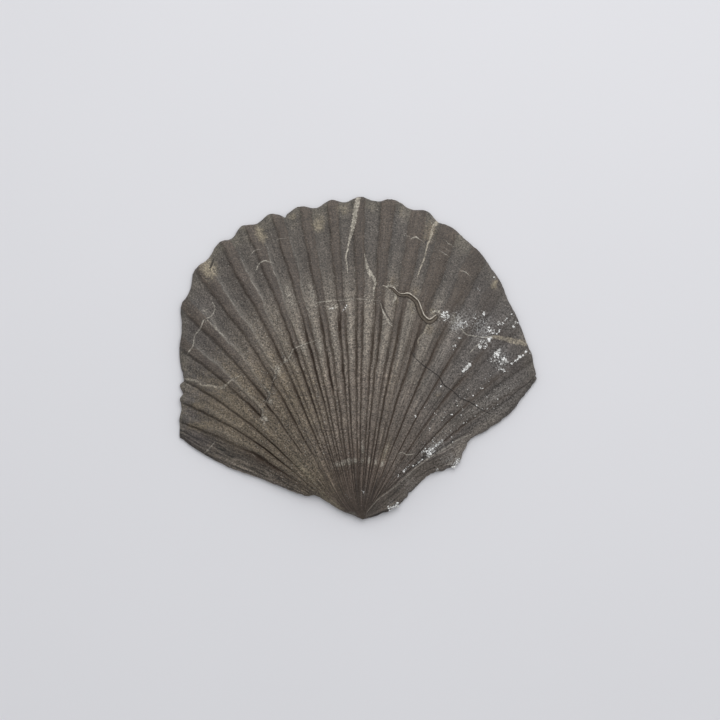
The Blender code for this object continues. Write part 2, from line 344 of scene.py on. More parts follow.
AXIS_PRIMES = (73856093, 19349663, 50331653)
SEED_PRIME = 83492791
MIXERS = ((13, 1274126177), (16, 668265263))
KEY_MASK = 0x7FFFFFFF
VALUE_MASK = 0xFFFF


def lattice_noise(points: Array, cell: float, seed: int) -> Array:
    """Smooth random values: fixed random numbers on a grid of cells, blended by quintic steps.

    Args:
        points: The (x, y) or (x, y, z) places, one a row.
        cell: The grid's spacing, in the places' unit.
        seed: Picks the random numbers.

    Returns:
        One value from -1 to 1 for each place.
    """
    points = points / cell
    base = np.floor(points).astype(np.int64)
    t = points - base
    t = t * t * t * (t * (6.0 * t - 15.0) + 10.0)
    count = points.shape[-1]
    total = np.zeros(points.shape[:-1])
    for corner in np.ndindex(*(2,) * count):
        cells = base + np.array(corner)
        key = np.bitwise_xor.reduce(cells * AXIS_PRIMES[:count], axis=-1) ^ seed * SEED_PRIME
        for shift, factor in MIXERS:
            key = (key ^ key >> shift) * factor & KEY_MASK
        weight = np.prod(np.where(np.array(corner) == 1, t, 1.0 - t), axis=-1)
        total += weight * (2.0 * (key & VALUE_MASK) / VALUE_MASK - 1.0)
    return total


def rough(points: Array, cell: float, octaves: int, seed: int) -> Array:
    """Noise in several sizes: each octave has half the cell and half the height of the last."""
    total = sum(0.5 ** i * lattice_noise(points, cell * 0.5 ** i, seed + i) for i in range(octaves))
    return total / (2.0 - 0.5 ** (octaves - 1))


@dataclass(frozen=True)
class Noise:
    """One kind of noise: its height about its level, its largest cell, its octaves and its seed."""

    height: float
    cell: float
    octaves: int
    seed: int
    level: float = 0.0

    def at(self, points: Array) -> Array:
        """The noise at each place."""
        return self.level + self.height * rough(points, self.cell, self.octaves, self.seed)


@dataclass(frozen=True)
class Ramp:
    """A number that goes by a smooth step from first to last while a value goes from low to high."""

    first: float
    last: float
    low: float
    high: float

    def at(self, value: Array) -> Array:
        """The number at each value."""
        return self.first + (self.last - self.first) * ease(self.low, self.high, value)


@dataclass(frozen=True)
class Peak:
    """A number that rises from a level by a height in a bell of values, round its middle."""

    height: float
    middle: float
    width: float
    level: float = 0.0

    def at(self, value: Array) -> Array:
        """The number at each value."""
        return self.level + self.height * bell(value - self.middle, self.width)


def layered(noises: tuple[Noise, ...], points: Array) -> Array:
    """The sum of several kinds of noise at each place."""
    return sum(noise.at(points) for noise in noises)


def along_route(route: Points, steps: Array) -> Array:
    """The (x, y) places on a smooth curve through a route, a whole step from point to point."""
    columns = (tuple(enumerate(column)) for column in zip(*route))
    return np.stack([through(column, steps) for column in columns], axis=-1)


class Mark(Enum):
    """The kinds of line drawn on the stone, each named after the attribute that carries it."""

    # Cracks are drawn as dark lines of painted shade.
    CRACK = "cracks"
    VEIN = "veins"
    ARC = "arcs"


@dataclass(frozen=True)
class Streak:
    """One line on the stone: a smooth curve through its route, with its widths along it.

    Its warmth says how far its colour leans to tan, and it fades out at its reach on either side.
    """

    route: Points
    widths: tuple[float, ...] = (0.5,)
    strength: float = 1.0
    warmth: float = 0.0
    reach: float = 2.6
    readings: int = 14

    def curve(self) -> tuple[Array, Array]:
        """Reads the curve finely, at even steps along its route.

        Returns:
            The curve's places in millimetres, and its half-width at each.
        """
        last = len(self.route) - 1
        fine = np.linspace(0.0, last, self.readings * len(self.route))
        stations = np.linspace(0.0, last, len(self.widths))
        return along_route(self.route, fine), 0.5 * np.interp(fine, stations, self.widths)

    def measure(self, xy: Array) -> tuple[Array, Array, Array]:
        """Measures how places lie beside the curve.

        The signed distance is the cross product of the curve's direction with the way to the place;
        past either end it grows with the distance from that end.

        Args:
            xy: The places in millimetres, one a row.

        Returns:
            The numbers of the places that lie near, their signed distance, and the half-width there.
        """
        curve, half = self.curve()
        inside = (xy > curve.min(axis=0) - self.reach) & (xy < curve.max(axis=0) + self.reach)
        near = np.flatnonzero(inside.all(axis=-1))
        gap = xy[near][:, None] - curve[None]
        closest = np.square(gap).sum(axis=-1).argmin(axis=1)
        way = gap[np.arange(len(near)), closest]
        ahead = np.gradient(curve, axis=0)
        ahead = (ahead / np.linalg.norm(ahead, axis=1, keepdims=True))[closest]
        cross = ahead[:, 0] * way[:, 1] - ahead[:, 1] * way[:, 0]
        along = (ahead * way).sum(axis=1)
        beyond = np.where((closest == 0) & (along < 0) | (closest == len(curve) - 1) & (along > 0),
                          along, 0.0)
        signed = np.where(cross < 0, -1.0, 1.0) * np.hypot(cross, beyond)
        return near, signed, half[closest]


TUBE_ROUTE: Points = (
    (10.2, 90.7), (11.8, 90.3), (13.1, 88.9), (14.5, 87.9), (16.1, 87.7), (17.6, 87.8), (19.4, 86.7),
    (21, 85.2), (21.7, 83.6), (22.3, 81.7), (23.1, 79.9), (24.3, 78.5), (25.7, 77.5), (27, 77.8),
    (28.2, 78.7), (29.1, 79.8))
BREAK_SHARE: Points = (
    (3.3, 0.574), (3.9, 0.568), (4.9, 0.545), (5.9, 0.548), (6.9, 0.562), (7.9, 0.578), (9, 0.58))
BREAK_EDGE: Span = (-0.004, 0.004)
STREAKS = {kind: tuple(Streak(*row) for row in rows) for kind, rows in {
    Mark.CRACK: (
        (((18.4, 68.1), (19.3, 64.9), (23.1, 60.8), (29.5, 56.2), (31.9, 52.7), (35.8, 49.9),
          (38.3, 47.4), (42.1, 45.9), (46.5, 43), (51.4, 40.6)),
          (0.1, 0.2, 0.45, 0.3, 0.5, 0.35, 0.45, 0.45, 0.35, 0.15), 0.95),
        (((25.1, 76.8), (23.5, 74.4), (21.5, 71.1), (20, 69.1), (20.5, 66.8), (19.2, 64.8)),
          (0.5, 0.3, 0.45, 0.3), 0.55),
        (((-59.4, 98.9), (-58.9, 100.2), (-58.2, 101.9)), (0.7, 1, 0.2), 0.9),
        (((-38.6, 42.6), (-37.4, 45.9), (-36.4, 48.2), (-34.9, 53.6)), (0.2, 0.4, 0.5), 0.55),
        (((-35.4, 53), (-34, 55.2), (-33.5, 57.6)), (0.3, 0.6, 0.3), 0.6),
        (((-29.6, 61.9), (-28, 63.6), (-27.3, 64.8)), (0.2, 0.5, 0.2), 0.5),
        # This crack is a painted shadow: a dark line beside the pale vein that runs the same way.
        (((7.7, 84.6), (8.7, 81.7), (9.9, 79.3), (11.6, 77)), (0.3, 0.6, 0.4), 0.7),
        (((-31.2, 64.9), (-30.8, 63.3), (-30.9, 62.2)), (0.2, 0.6, 0.4), 0.5),
        (((-35.9, 59.2), (-34.8, 57.5), (-34.5, 56.3), (-35.1, 55.2)), (0.2, 0.5, 0.8, 0.5), 0.6),
        (((-38.2, 51), (-37.1, 49.6), (-36.9, 48.6), (-37.9, 47)), (0.2, 0.5, 0.8, 0.5), 0.6),
        (((-40.3, 43.7), (-39.6, 42.5), (-39.6, 41.3)), (0.2, 0.6, 0.4), 0.5),
        (((5.8, 8.9), (13.4, 14.7), (19.2, 20.1), (24.9, 24.7), (30.6, 28), (36.4, 31.7), (42, 34.2)),
          (0.4, 0.6, 0.9, 0.9, 0.8, 0.6, 0.3), 0.5),
    ),
    Mark.VEIN: (
        (((-33.5, 57.6), (-31.8, 60.3), (-29.3, 62.2), (-27.8, 65.1), (-26.8, 66.8), (-22.7, 68.5),
          (-17.5, 70.3)), (0.25, 0.45, 0.4, 0.25), 0.6),
        (((-31.5, 65.5), (-30.3, 63.3), (-30.1, 62.2), (-30.9, 61.6)), (0.3, 0.5), 0.55),
        (((-36.3, 60.7), (-34.1, 58), (-33.7, 56.5), (-34.7, 54.9)), (0.3, 0.5, 0.6, 0.3), 0.6),
        (((-38.7, 52.4), (-36.7, 50.2), (-36.2, 49), (-37.3, 46.9)), (0.3, 0.5, 0.7, 0.4), 0.6),
        (((-40.5, 44.9), (-39.3, 43.2), (-38.8, 41.6), (-39.4, 40.3)), (0.3, 0.4, 0.6, 0.4), 0.5),
        (((-39.1, 39.2), (-38.4, 40.3), (-37.4, 39.9), (-38, 38.3), (-38.5, 37), (-37, 35.3)),
          (0.6, 0.8, 0.5, 0.3, 0.5, 0.3), 0.6),
        (((-58.9, 85.3), (-57.7, 82.4), (-59.4, 79.4), (-62, 78.2), (-63.4, 74.9), (-65.6, 72),
          (-66.3, 68.2), (-67.9, 65.8)), (0.35, 0.5, 0.6, 0.45), 0.65),
        (((-60.8, 78.2), (-58.4, 75.8), (-55.6, 73), (-53.6, 71.1)), (0.3, 0.8, 0.7, 0.3), 0.5),
        (((-69.8, 55.1), (-66.5, 54.6), (-64.1, 53.7), (-62.7, 52.5), (-59.4, 52.5), (-55.6, 51.5),
          (-53.3, 52.7), (-51.3, 54.6), (-48.5, 56)), (0.7, 0.9, 0.6, 0.8, 1.1, 0.7, 0.6), 0.6, 0.3),
        (((-62.2, 25.8), (-60.4, 27.4), (-57.9, 30.2)), (0.3, 0.7, 0.3), 0.5),
        (((1.4, 2.6), (6.4, 8.2), (14, 13.9), (19.8, 19.3), (25.5, 23.9), (31.2, 27.2), (36.9, 30.9),
          (42.6, 33.4)), (0.3, 0.5, 0.6, 0.7, 0.6, 0.5, 0.4), 0.5),
        (((-1.9, 125.5), (-2.9, 119.9), (-3.8, 114.3), (-5.1, 109.5), (-5.8, 105.7), (-6.5, 102.8),
          (-6.1, 100.1), (-5.9, 96.5)), (2, 1.9, 1.3, 0.7, 0.55, 0.5, 0.25), 0.95, 0.15, 4),
        (((29.2, 116.5), (27.7, 114.3), (26.6, 110.5), (25.3, 107.1), (24.2, 102.4), (22.7, 98.6),
          (21.5, 95)), (1.5, 1.1, 0.7, 0.55, 0.6, 0.3), 0.85, 0.35, 3.2),
        (((0.7, 104.2), (1.5, 100.1), (2.9, 96.3), (5, 93), (4.5, 90.4), (4.2, 87.5)),
          (0.2, 1, 1.7, 0.9, 0.7, 0.3), 0.85, 0.1, 3.2),
        (((7.1, 84.4), (7.9, 81.5), (9.1, 78.9), (10.9, 76.4)), (0.2, 0.6, 0.7), 0.9),
        (((38.7, 74.4), (40.5, 72.5), (43.9, 71.8), (47.2, 71.3), (50.5, 71.4)),
          (0.4, 0.6, 0.45, 0.5, 1), 0.6),
        (((42, 65.3), (43.5, 66.9), (45.5, 68.8)), (0.3, 0.6, 0.4), 0.5),
        (((50.9, 71.5), (53.2, 71.2), (56.2, 70.6), (59.5, 69.7), (63.8, 69)), (1.3, 1.6, 1.8, 2.2, 2),
          0.62, 0.65, 4),
        (((9.9, 91.1), (11.8, 90), (12.7, 88.4), (12.9, 86.9), (12.2, 85.2)), (1.2, 0.9, 0.9, 1, 0.6),
          1, 0.1),
        (((10, 91.4), (11.5, 91.6)), (0.8, 0.4), 0.9),
        (((28.4, 81.4), (29.6, 81.7), (30.4, 80.4)), (0.7, 0.9, 0.5), 0.95),
        (((25.2, 75.4), (24.2, 73.4), (22.6, 71.6), (21.6, 70), (21.9, 68)), (0.7, 0.6, 0.5, 0.7, 0.4),
          0.55, 0.4),
        (((44.1, 40.5), (47.5, 41.7), (51.6, 40.4)), (0.3, 0.4, 0.2), 0.35),
    ),
    Mark.ARC: (
        (((-17.6, 84.8), (-14.8, 85.3), (-12.5, 85.6), (-8.2, 85.7), (-4.3, 86.2), (-0.4, 86.2),
          (4.7, 85.6)), (0.5, 0.3, 0.35, 0.3), 0.45),
        (((-14.2, 85.1), (-12.6, 85.5)), (0.6, 0.4), 0.8),
        (((-12.9, 82.3), (-10.8, 82.8)), (0.4, 0.7), 0.9),
        (((-41.4, 97.9), (-40.6, 99.8), (-38.4, 101.2), (-36, 100.6)), (0.35, 0.4, 0.55, 0.35), 0.72),
        (((-43.7, 103.6), (-42.3, 105.2), (-40.1, 105.7)), (0.3, 0.4, 0.2), 0.4),
        (((-33.8, 109.3), (-32.5, 109.9), (-30.7, 109.9)), (0.3, 0.4, 0.3), 0.3),
        (((19.6, 110.2), (21, 110.5), (22.1, 109.7)), (0.4, 0.5, 0.3), 0.9),
        (((16.4, 111.1), (17.6, 110.9)), (0.3, 0.4), 0.45),
        (((39.4, 97.2), (40.3, 96.8), (41, 96.1)), (0.35, 0.5, 0.3), 0.85),
        (((33.3, 108.2), (34.2, 107.5)), (0.4, 0.5), 0.6),
        (((31, 104.8), (32.5, 103.7)), (0.3, 0.5), 0.5),
        (((14.3, 26), (15.4, 26.3), (17.5, 25.5), (20.5, 25.8)), (0.3, 0.5, 0.4, 0.2), 0.7),
        (((50.9, 48), (54.8, 51.1), (59.1, 52.9)), (0.3, 0.35, 0.2), 0.3),
        (((49.5, 45.2), (53.5, 48), (58, 50.2)), (0.25, 0.3, 0.2), 0.22),
    ),
}.items()}


class Stain(Enum):
    """The colours that a patch of the stone may lean to."""

    OLIVE = "olive"
    GRAPHITE = "graphite"
    BEIGE = "beige"
    PALE = "pale"
    CHALK = "chalk"
    DARK = "dark"


@dataclass(frozen=True)
class Patch:
    """A soft oval patch: its middle and half-sizes in millimetres, its bearing and its strength."""

    middle: tuple[float, float]
    size: tuple[float, float]
    strength: float
    bearing: float = 0.0

    def amount(self, xy: Array) -> Array:
        """How strongly the patch shows: e to the minus squared distance in half-sizes.

        Args:
            xy: The places in millimetres from the beak.

        Returns:
            The amount at each place, up to the patch's strength.
        """
        turn = np.radians(self.bearing)
        way = xy - np.array(self.middle)
        across = way[..., 0] * np.cos(turn) - way[..., 1] * np.sin(turn)
        along = way[..., 0] * np.sin(turn) + way[..., 1] * np.cos(turn)
        return self.strength * bell(across, self.size[0]) * bell(along, self.size[1])


PATCHES = {kind: tuple(Patch(*row) for row in rows) for kind, rows in {
    Stain.OLIVE: (
        ((-40, 40), (24, 28), 1.15, -50), ((-30, 68), (14, 26), 0.35, -25),
        ((-64.2, 36.6), (3.6, 1.3), 1.3), ((-64.6, 44.5), (2.4, 1.1), 0.8),
        ((26, 112.4), (3.6, 5.5), 0.8, 20), ((11.8, 93), (2.2, 3), 0.7, 8),
        ((20.8, 89.4), (2.2, 2.2), 0.7), ((25.8, 74.6), (3.2, 2.4), 0.8, 30),
        ((11, 52), (3, 26), 0.4, 12), ((29.3, 48.5), (3, 1.8), 0.5, -40), ((10, 8), (9, 3.5), 0.5, 60),
        ((9.2, 27), (1.5, 5.5), 1, 20), ((-20, 14), (8, 16), 0.8, -55),
    ),
    Stain.GRAPHITE: (
        ((48, 66), (22, 40), 1, 20), ((33, 55), (9, 18), 0.5, 35), ((-64, 76), (9, 20), 0.8),
        ((-67, 42), (3.4, 9), 1), ((14, 113), (14, 10), 0.4, 10),
    ),
    Stain.BEIGE: (
        ((-60.3, 98), (3.4, 5), 1, -25), ((-39.9, 111.6), (4, 2.2), 0.95, 60),
        ((-17.2, 115.7), (2.9, 3.8), 0.9), ((-27.2, 118.6), (1.8, 1.6), 0.75),
        ((-7.4, 121.6), (4, 2.6), 0.55), ((19.2, 83.6), (1.8, 3), 0.65, 15),
        ((27.2, 81.2), (2.2, 1.8), 0.7, 40), ((13.2, 86), (1.2, 3.2), 0.6, 8),
        ((51.5, 92), (1.2, 2.2), 1, 20), ((15, 120.4), (1, 2.2), 0.6), ((-64.2, 36.8), (2.6, 0.7), 0.6),
        ((-18, 9.2), (2.6, 7), 0.5, -62), ((-12, 5.4), (2.2, 6), 0.8, -66),
        ((-23, 19.5), (1.6, 10), 0.75, -41),
    ),
    Stain.PALE: (
        ((-28.4, 87.5), (2.4, 7), 0.6, -20), ((-19.2, 87), (1.9, 8), 0.6, -14),
        ((-16.7, 67.7), (1.6, 3), 0.7, -14), ((-23.4, 67.6), (1.8, 2.4), 0.7, -18),
        ((0.1, 27.9), (0.9, 2.8), 0.9), ((-4.9, 23.2), (2.4, 0.9), 0.9), ((-9, 21.8), (3, 0.9), 0.7, 0),
        ((9.3, 27.8), (1.1, 3.2), 0.45, 18), ((-3.9, 2.4), (2.2, 0.8), 0.9),
        ((-38.2, 39.2), (1.4, 1.6), 0.6, 0), ((-33.1, 59), (1.1, 2.2), 0.8, -20),
        ((-34.8, 50.9), (0.9, 2), 0.7, -20), ((-36, 46.2), (1.2, 1.6), 0.7, -30),
        ((30.5, 86), (2, 6), 0.4, 25), ((36, 78.5), (2.6, 2.6), 0.6), ((-62, 81.5), (2.6, 2), 0.4),
        ((37, 45), (5, 3), 0.35, 40), ((-23.5, 20.5), (1.3, 9), 0.3, -41),
    ),
    Stain.CHALK: (
        ((32.4, 79.6), (1.8, 1.8), 0.8), ((37, 78.2), (3.2, 3.6), 0.85),
        ((36, 75.8), (2.6, 1.4), 0.8, -40), ((47.5, 72.5), (4.4, 5.5), 0.62),
        ((54, 63), (3.4, 4.5), 0.75), ((45, 77.5), (5, 3.5), 0.55), ((58, 78), (4, 5), 0.35),
        ((40.5, 59.8), (2, 3), 0.5, 25), ((27, 27.5), (2.4, 5), 0.8, 55), ((36, 22.5), (5, 4), 0.7),
        ((20, 11), (9, 4), 0.4, 60), ((12.4, 4.6), (3, 1.4), 0.9, 60), ((52, 46), (16, 5), 0.25, -40),
        ((0.8, 10.8), (1.6, 2), 0.3),
    ),
    Stain.DARK: (
        ((0, 5), (9, 15), 0.55), ((-4, 92), (15, 14), 0.22), ((-40, 90), (22, 15), 0.3, -50),
        ((-29, 36), (7, 16), 0.22, -40), ((-68.2, 47.4), (1.8, 2.2), 0.55),
        ((-67, 41.5), (2.6, 1.6), 0.6), ((-64.4, 38.9), (2.4, 1.2), 0.5),
        ((-62, 30.6), (4.5, 2.6), 0.5), ((-60.5, 63), (4, 2.4), 0.35, -60),
        ((24, 28), (9, 26), 0.48, 42), ((38, 33), (2.4, 16), 0.75, 55), ((52, 74), (13, 20), 0.3),
        ((10, 37), (7, 12), 0.35, 15), ((-47, 67), (4.5, 13), 0.3, -38), ((61, 59), (6, 10), 0.35),
        ((-38, 20.5), (3.5, 26), 0.32, -62), ((0.5, 44), (3, 10), 0.2), ((14, 16.5), (2.2, 7), 0.3, 43),
        ((56.5, 62), (4, 4), 0.5), ((-66.5, 32), (4, 2.5), 0.45),
    ),
}.items()}


@dataclass(frozen=True)
class Places:
    """Places on the upper surface, as four arrays with one entry for each.

    They are its fan line, its share of the way to the margin, its distance from the beak in metres
    and its (x, y) from the beak in millimetres.
    """

    line: Array
    share: Array
    radius: Array
    xy: Array


START: Span = (-2.0, -1.0)
END: Span = (98.0, 99.0)


@dataclass(frozen=True)
class Zone:
    """A part of the upper surface: a window of fan lines by a window of shares.

    START stands for a window's first span where it begins before everything, and END for its last
    span where it ends after everything.
    """

    lines: Window
    shares: Window

    def at(self, places: Places) -> Array:
        """1 at the places inside the zone and 0 outside it."""
        return within(self.lines, places.line) * within(self.shares, places.share)


def beyond_break(places: Places) -> Array:
    """How far beyond the old break across ribs 4 to 9 each place lies, in shares of the way out."""
    return places.share - through(BREAK_SHARE, places.line)


@dataclass(frozen=True)
class Wear:
    """What time did to the stone, as heights in millimetres."""

    uneven: tuple[Noise, ...] = (Noise(0.20, 9.0, 3, 11), Noise(0.075, 1.3, 2, 23))
    step_height: float = 0.045
    step_rate: float = 260.0
    step_drift: Noise = Noise(3.0, 16.0, 2, 31)
    stepped_shares: Span = (0.6, 0.85)
    halt: Peak = Peak(0.16, 23.2, 0.6)
    halt_drift: Noise = Noise(0.5, 3.0, 2, 37)
    halt_lines: Window = ((3.0, 5.0), (11.0, 13.0))
    stria_height: float = 0.16
    stria_sink: float = 0.25
    stria_rate: float = 46.0
    stria_drift: Noise = Noise(2.4, 9.0, 3, 41)
    flank: Zone = Zone((START, (0.55, 0.85)), ((0.1, 0.3), END))
    torn: Noise = Noise(0.38, 2.9, 3, 43)
    torn_margin: Zone = Zone((START, (2.5, 5.5)), ((0.86, 0.97), END))
    remnant: Zone = Zone(((RIB_COUNT + 0.95, RIB_COUNT + 1.1), END), (START, (0.4, 0.55)))
    remnant_rough: tuple[Noise, ...] = (Noise(0.42, 3.2, 3, 47), Noise(0.16, 0.9, 2, 53))
    ridge: Peak = Peak(1.0, RIB_COUNT + 0.9, 0.08)
    ridge_height: Noise = Noise(0.45, 3.0, 2, 73, 0.315)
    ridge_shares: Window = ((0.12, 0.2), (0.55, 0.7))
    broken: Peak = Peak(0.22, 5.9, 2.2)
    break_shares: Span = (-0.10, 0.0)

    def height(self, places: Places) -> Array:
        """The sum of all kinds of wear.

        They are uneven stone, waves of growth outwards, the step of one halt in growth, waves
        across the left flank, the torn left margin, the rough remnant with its ridge, and the
        step along the old break.

        Args:
            places: The places on the upper surface.

        Returns:
            The height to add at each place, in millimetres.
        """
        line, share, xy = places.line, places.share, places.xy
        growth = self.step_height * np.sin(share * self.step_rate + self.step_drift.at(xy))
        halt = self.halt.at(places.radius / MM - self.halt_drift.at(xy))
        striae = self.stria_height * np.sin(line * self.stria_rate + self.stria_drift.at(xy))
        ridge = self.ridge.at(line) * within(self.ridge_shares, share)
        broken = self.broken.at(line) * ease(*self.break_shares, beyond_break(places))
        return (layered(self.uneven, xy)
                + growth * ease(*self.stepped_shares, share)
                + halt * within(self.halt_lines, line)
                + (striae - self.stria_sink) * self.flank.at(places)
                + self.torn.at(xy) * self.torn_margin.at(places)
                + layered(self.remnant_rough, xy) * self.remnant.at(places)
                + self.ridge_height.at(xy) * ridge
                + broken * before(BREAK_EDGE, beyond_break(places)))


@dataclass(frozen=True)
class Rib:
    """How each place lies beside its nearest rib, and how strongly the rib's parts show there.

    The distances from the crest, the left groove, the right groove and the right edge are in rib
    spacings, below zero on the left of each.  Outwards says how far broad folds have taken over from
    riblets.  Side goes from -1 at the fan's left to 1 at its right.
    """

    crest: Array
    left: Array
    right: Array
    edge: Array
    left_depth: Array
    right_depth: Array
    whole: Array
    outwards: Array
    side: Array


@dataclass(frozen=True)
class Relief:
    """Heights of the fossil's surfaces above the table, in metres, and where the ribs' edges lie.

    Widths and distances across a rib are in rib spacings.
    """

    fan: Fan = Fan()
    wear: Wear = Wear()
    dome_rise: float = 15.6 * MM
    dome_powers: tuple[float, float, float] = (2.2, 2.6, 4.0)
    rim: Ramp = Ramp(2.9 * MM, 2.2 * MM, 0.2, 0.95)
    ledge_drop: float = 0.8 * MM
    ledge: Zone = Zone(((RIB_COUNT + 0.9, RIB_COUNT + 1.05), END), (START, (0.45, 0.6)))
    lip: float = 0.6 * MM
    groove_depth: float = 0.95 * MM
    groove_width: float = 0.056
    left_groove_at: Points = (
        (1, 0.12), (3, 0.11), (6, 0.14), (9, 0.17), (13, 0.19), (20, 0.17))
    right_groove_at: Points = (
        (1, 0.2), (9, 0.18), (12, 0.17), (15, 0.15), (16, 0.13), (17, 0.09), (18, 0.09),
        (19, 0.02), (20, 0.09))
    right_edge_at: Points = ((1, 0.24), (8, 0.23), (12, 0.24), (14, 0.33), (20, 0.36))
    left_by_rib: Ramp = Ramp(1.0, 0.15, 13.0, 16.5)
    left_by_share: Peak = Peak(0.45, 0.54, 0.10, 0.85)
    right_by_rib: Ramp = Ramp(0.10, 0.72, 4.0, 10.0)
    right_level: float = 1.3
    right_faded: float = 0.5
    faded: Noise = Noise(0.45, 11.0, 2, 59, 0.78)
    riblet_sink: float = 0.16 * MM
    rib_rise: float = 0.62 * MM
    rib_wall: float = 0.10
    rib_gap: float = 0.02
    crown_fall: float = 0.35
    crown_half: float = 0.3
    rib_foot: float = 0.34 * MM
    left_foot: Peak = Peak(1.0, -0.05, 0.05)
    left_foot_side: float = 0.55
    right_foot: Peak = Peak(1.0, 0.02, 0.06)
    right_foot_side: float = 0.35
    right_foot_most: float = 0.8
    full_at: float = 48.0 * MM
    depth_power: float = 0.8
    change: Span = (0.56, 0.82)
    ribbed_lines: Window = ((0.3, 0.8), (RIB_COUNT + 0.3, RIB_COUNT + 0.9))
    worn_side: Ramp = Ramp(1.0, 0.85, 0.72 * RIB_COUNT, 0.9 * RIB_COUNT)
    healed: Peak = Peak(0.9, 3.95, 0.42)
    healed_shares: Span = (0.2, 0.4)
    pushed: Peak = Peak(0.17, 5.0, 1.1)
    push_growth: float = 0.8
    push_shares: Span = (0.2, 0.5)
    lean: float = 0.035
    leaning: Zone = Zone(((3.5, 6.0), END), (START, (0.70, 0.82)))
    wander: tuple[Noise, ...] = (Noise(0.05, 8.0, 2, 19), Noise(0.035, 1.7, 2, 29))

    def dome(self, places: Places) -> Array:
        """The smooth valve: a low dome that falls to the rim on every side.

        Sideways runs from -1 at the left edge to 1 at the right edge.  The dome's height is the
        product of 1 minus sideways to one power, 1 minus share to another, and 1 minus the share
        left to go to a third.

        Args:
            places: The places on the upper surface.

        Returns:
            The height of each place before the ribs are added.
        """
        share = places.share
        bearings = self.fan.line_bearings(places.radius)
        turned = self.fan.bearing(places.line, places.radius) - bearings[0]
        sideways = 2.0 * turned / (bearings[-1] - bearings[0]) - 1.0
        side_power, margin_power, beak_power = self.dome_powers
        across = 1.0 - np.abs(np.clip(sideways, -1.0, 1.0)) ** side_power
        along = (1.0 - share ** margin_power) * (1.0 - (1.0 - share) ** beak_power)
        ledge = self.ledge_drop * self.ledge.at(places)
        return self.rim.at(share) - ledge + self.dome_rise * across * along

    def crest_distance(self, places: Places) -> Array:
        """How far each place lies from the crest of the rib that shows there.

        Ribs 4 to 6 are pushed aside below the break, the inner ribs lean a little to the right, and
        noise makes every rib wander.

        Args:
            places: The places on the upper surface.

        Returns:
            The distance from the crest, in rib spacings.
        """
        least, most = self.push_shares
        further = np.clip((most - places.share) / (most - least), 0.0, 1.0)
        pushed = self.pushed.at(places.line) * (1.0 + self.push_growth * further)
        pushed = pushed * before(BREAK_EDGE, beyond_break(places))
        leaning = self.lean * self.leaning.at(places)
        return self.fan.phase(places.line + pushed + layered(self.wander, places.xy) - leaning)

    def rib(self, places: Places) -> Rib:
        """Measures how places lie beside their nearest ribs.

        Args:
            places: The places on the upper surface.

        Returns:
            The distances and strengths at each place.
        """
        line, share = places.line, places.share
        crest = self.crest_distance(places)
        nearest = np.clip(np.round(line), 1, RIB_COUNT)
        faded = self.faded.at(places.xy)
        healed = self.healed.at(line) * ease(*self.healed_shares, share)
        healed = 1.0 - healed * before(BREAK_EDGE, beyond_break(places))
        return Rib(
            crest=crest,
            left=crest + through(self.left_groove_at, nearest),
            right=crest - through(self.right_groove_at, nearest),
            edge=crest - through(self.right_edge_at, nearest),
            left_depth=self.left_by_rib.at(line) * self.left_by_share.at(share) * faded,
            right_depth=self.right_by_rib.at(line) * (self.right_level - self.right_faded * faded),
            whole=within(self.ribbed_lines, line) * self.worn_side.at(line) * healed,
            outwards=ease(*self.change, share),
            side=np.clip(2.0 * line / RIB_COUNT - 1.0, -1.0, 1.0))

    def ribs(self, places: Places) -> Array:
        """What the ribs add: riblets between paired grooves inwards, low flat folds outwards.

        A groove is a bell across the rib.  A fold is the product of two smooth steps, one at each
        of its edges, with a groove along the edge that faces away from the middle of the fan.

        Args:
            places: The places on the upper surface.

        Returns:
            The height to add at each place.
        """
        rib, wall = self.rib(places), self.rib_wall
        grooves = (rib.left_depth * bell(rib.left, self.groove_width)
                   + rib.right_depth * bell(rib.right, self.groove_width))
        middle, half = (rib.left + rib.right) / 2.0, (rib.left - rib.right) / 2.0
        inner = (-self.groove_depth * grooves
                 - self.riblet_sink * bell(middle, half + self.groove_width))
        fold = ease(-wall, wall, rib.left + self.rib_gap) * ease(-wall, wall, -rib.edge)
        crown = 1.0 - self.crown_fall * np.square(np.clip(rib.crest / self.crown_half, -1.0, 1.0))
        left_side = np.clip(self.left_foot_side - rib.side, 0.0, 1.0)
        right_side = np.clip(self.right_foot_side + rib.side, 0.0, self.right_foot_most)
        foot = left_side * self.left_foot.at(rib.left) + right_side * self.right_foot.at(rib.edge)
        outer = self.rib_rise * fold * crown - self.rib_foot * foot
        depth = rib.whole * np.minimum(places.radius / self.full_at, 1.0) ** self.depth_power
        return (inner + (outer - inner) * rib.outwards) * depth


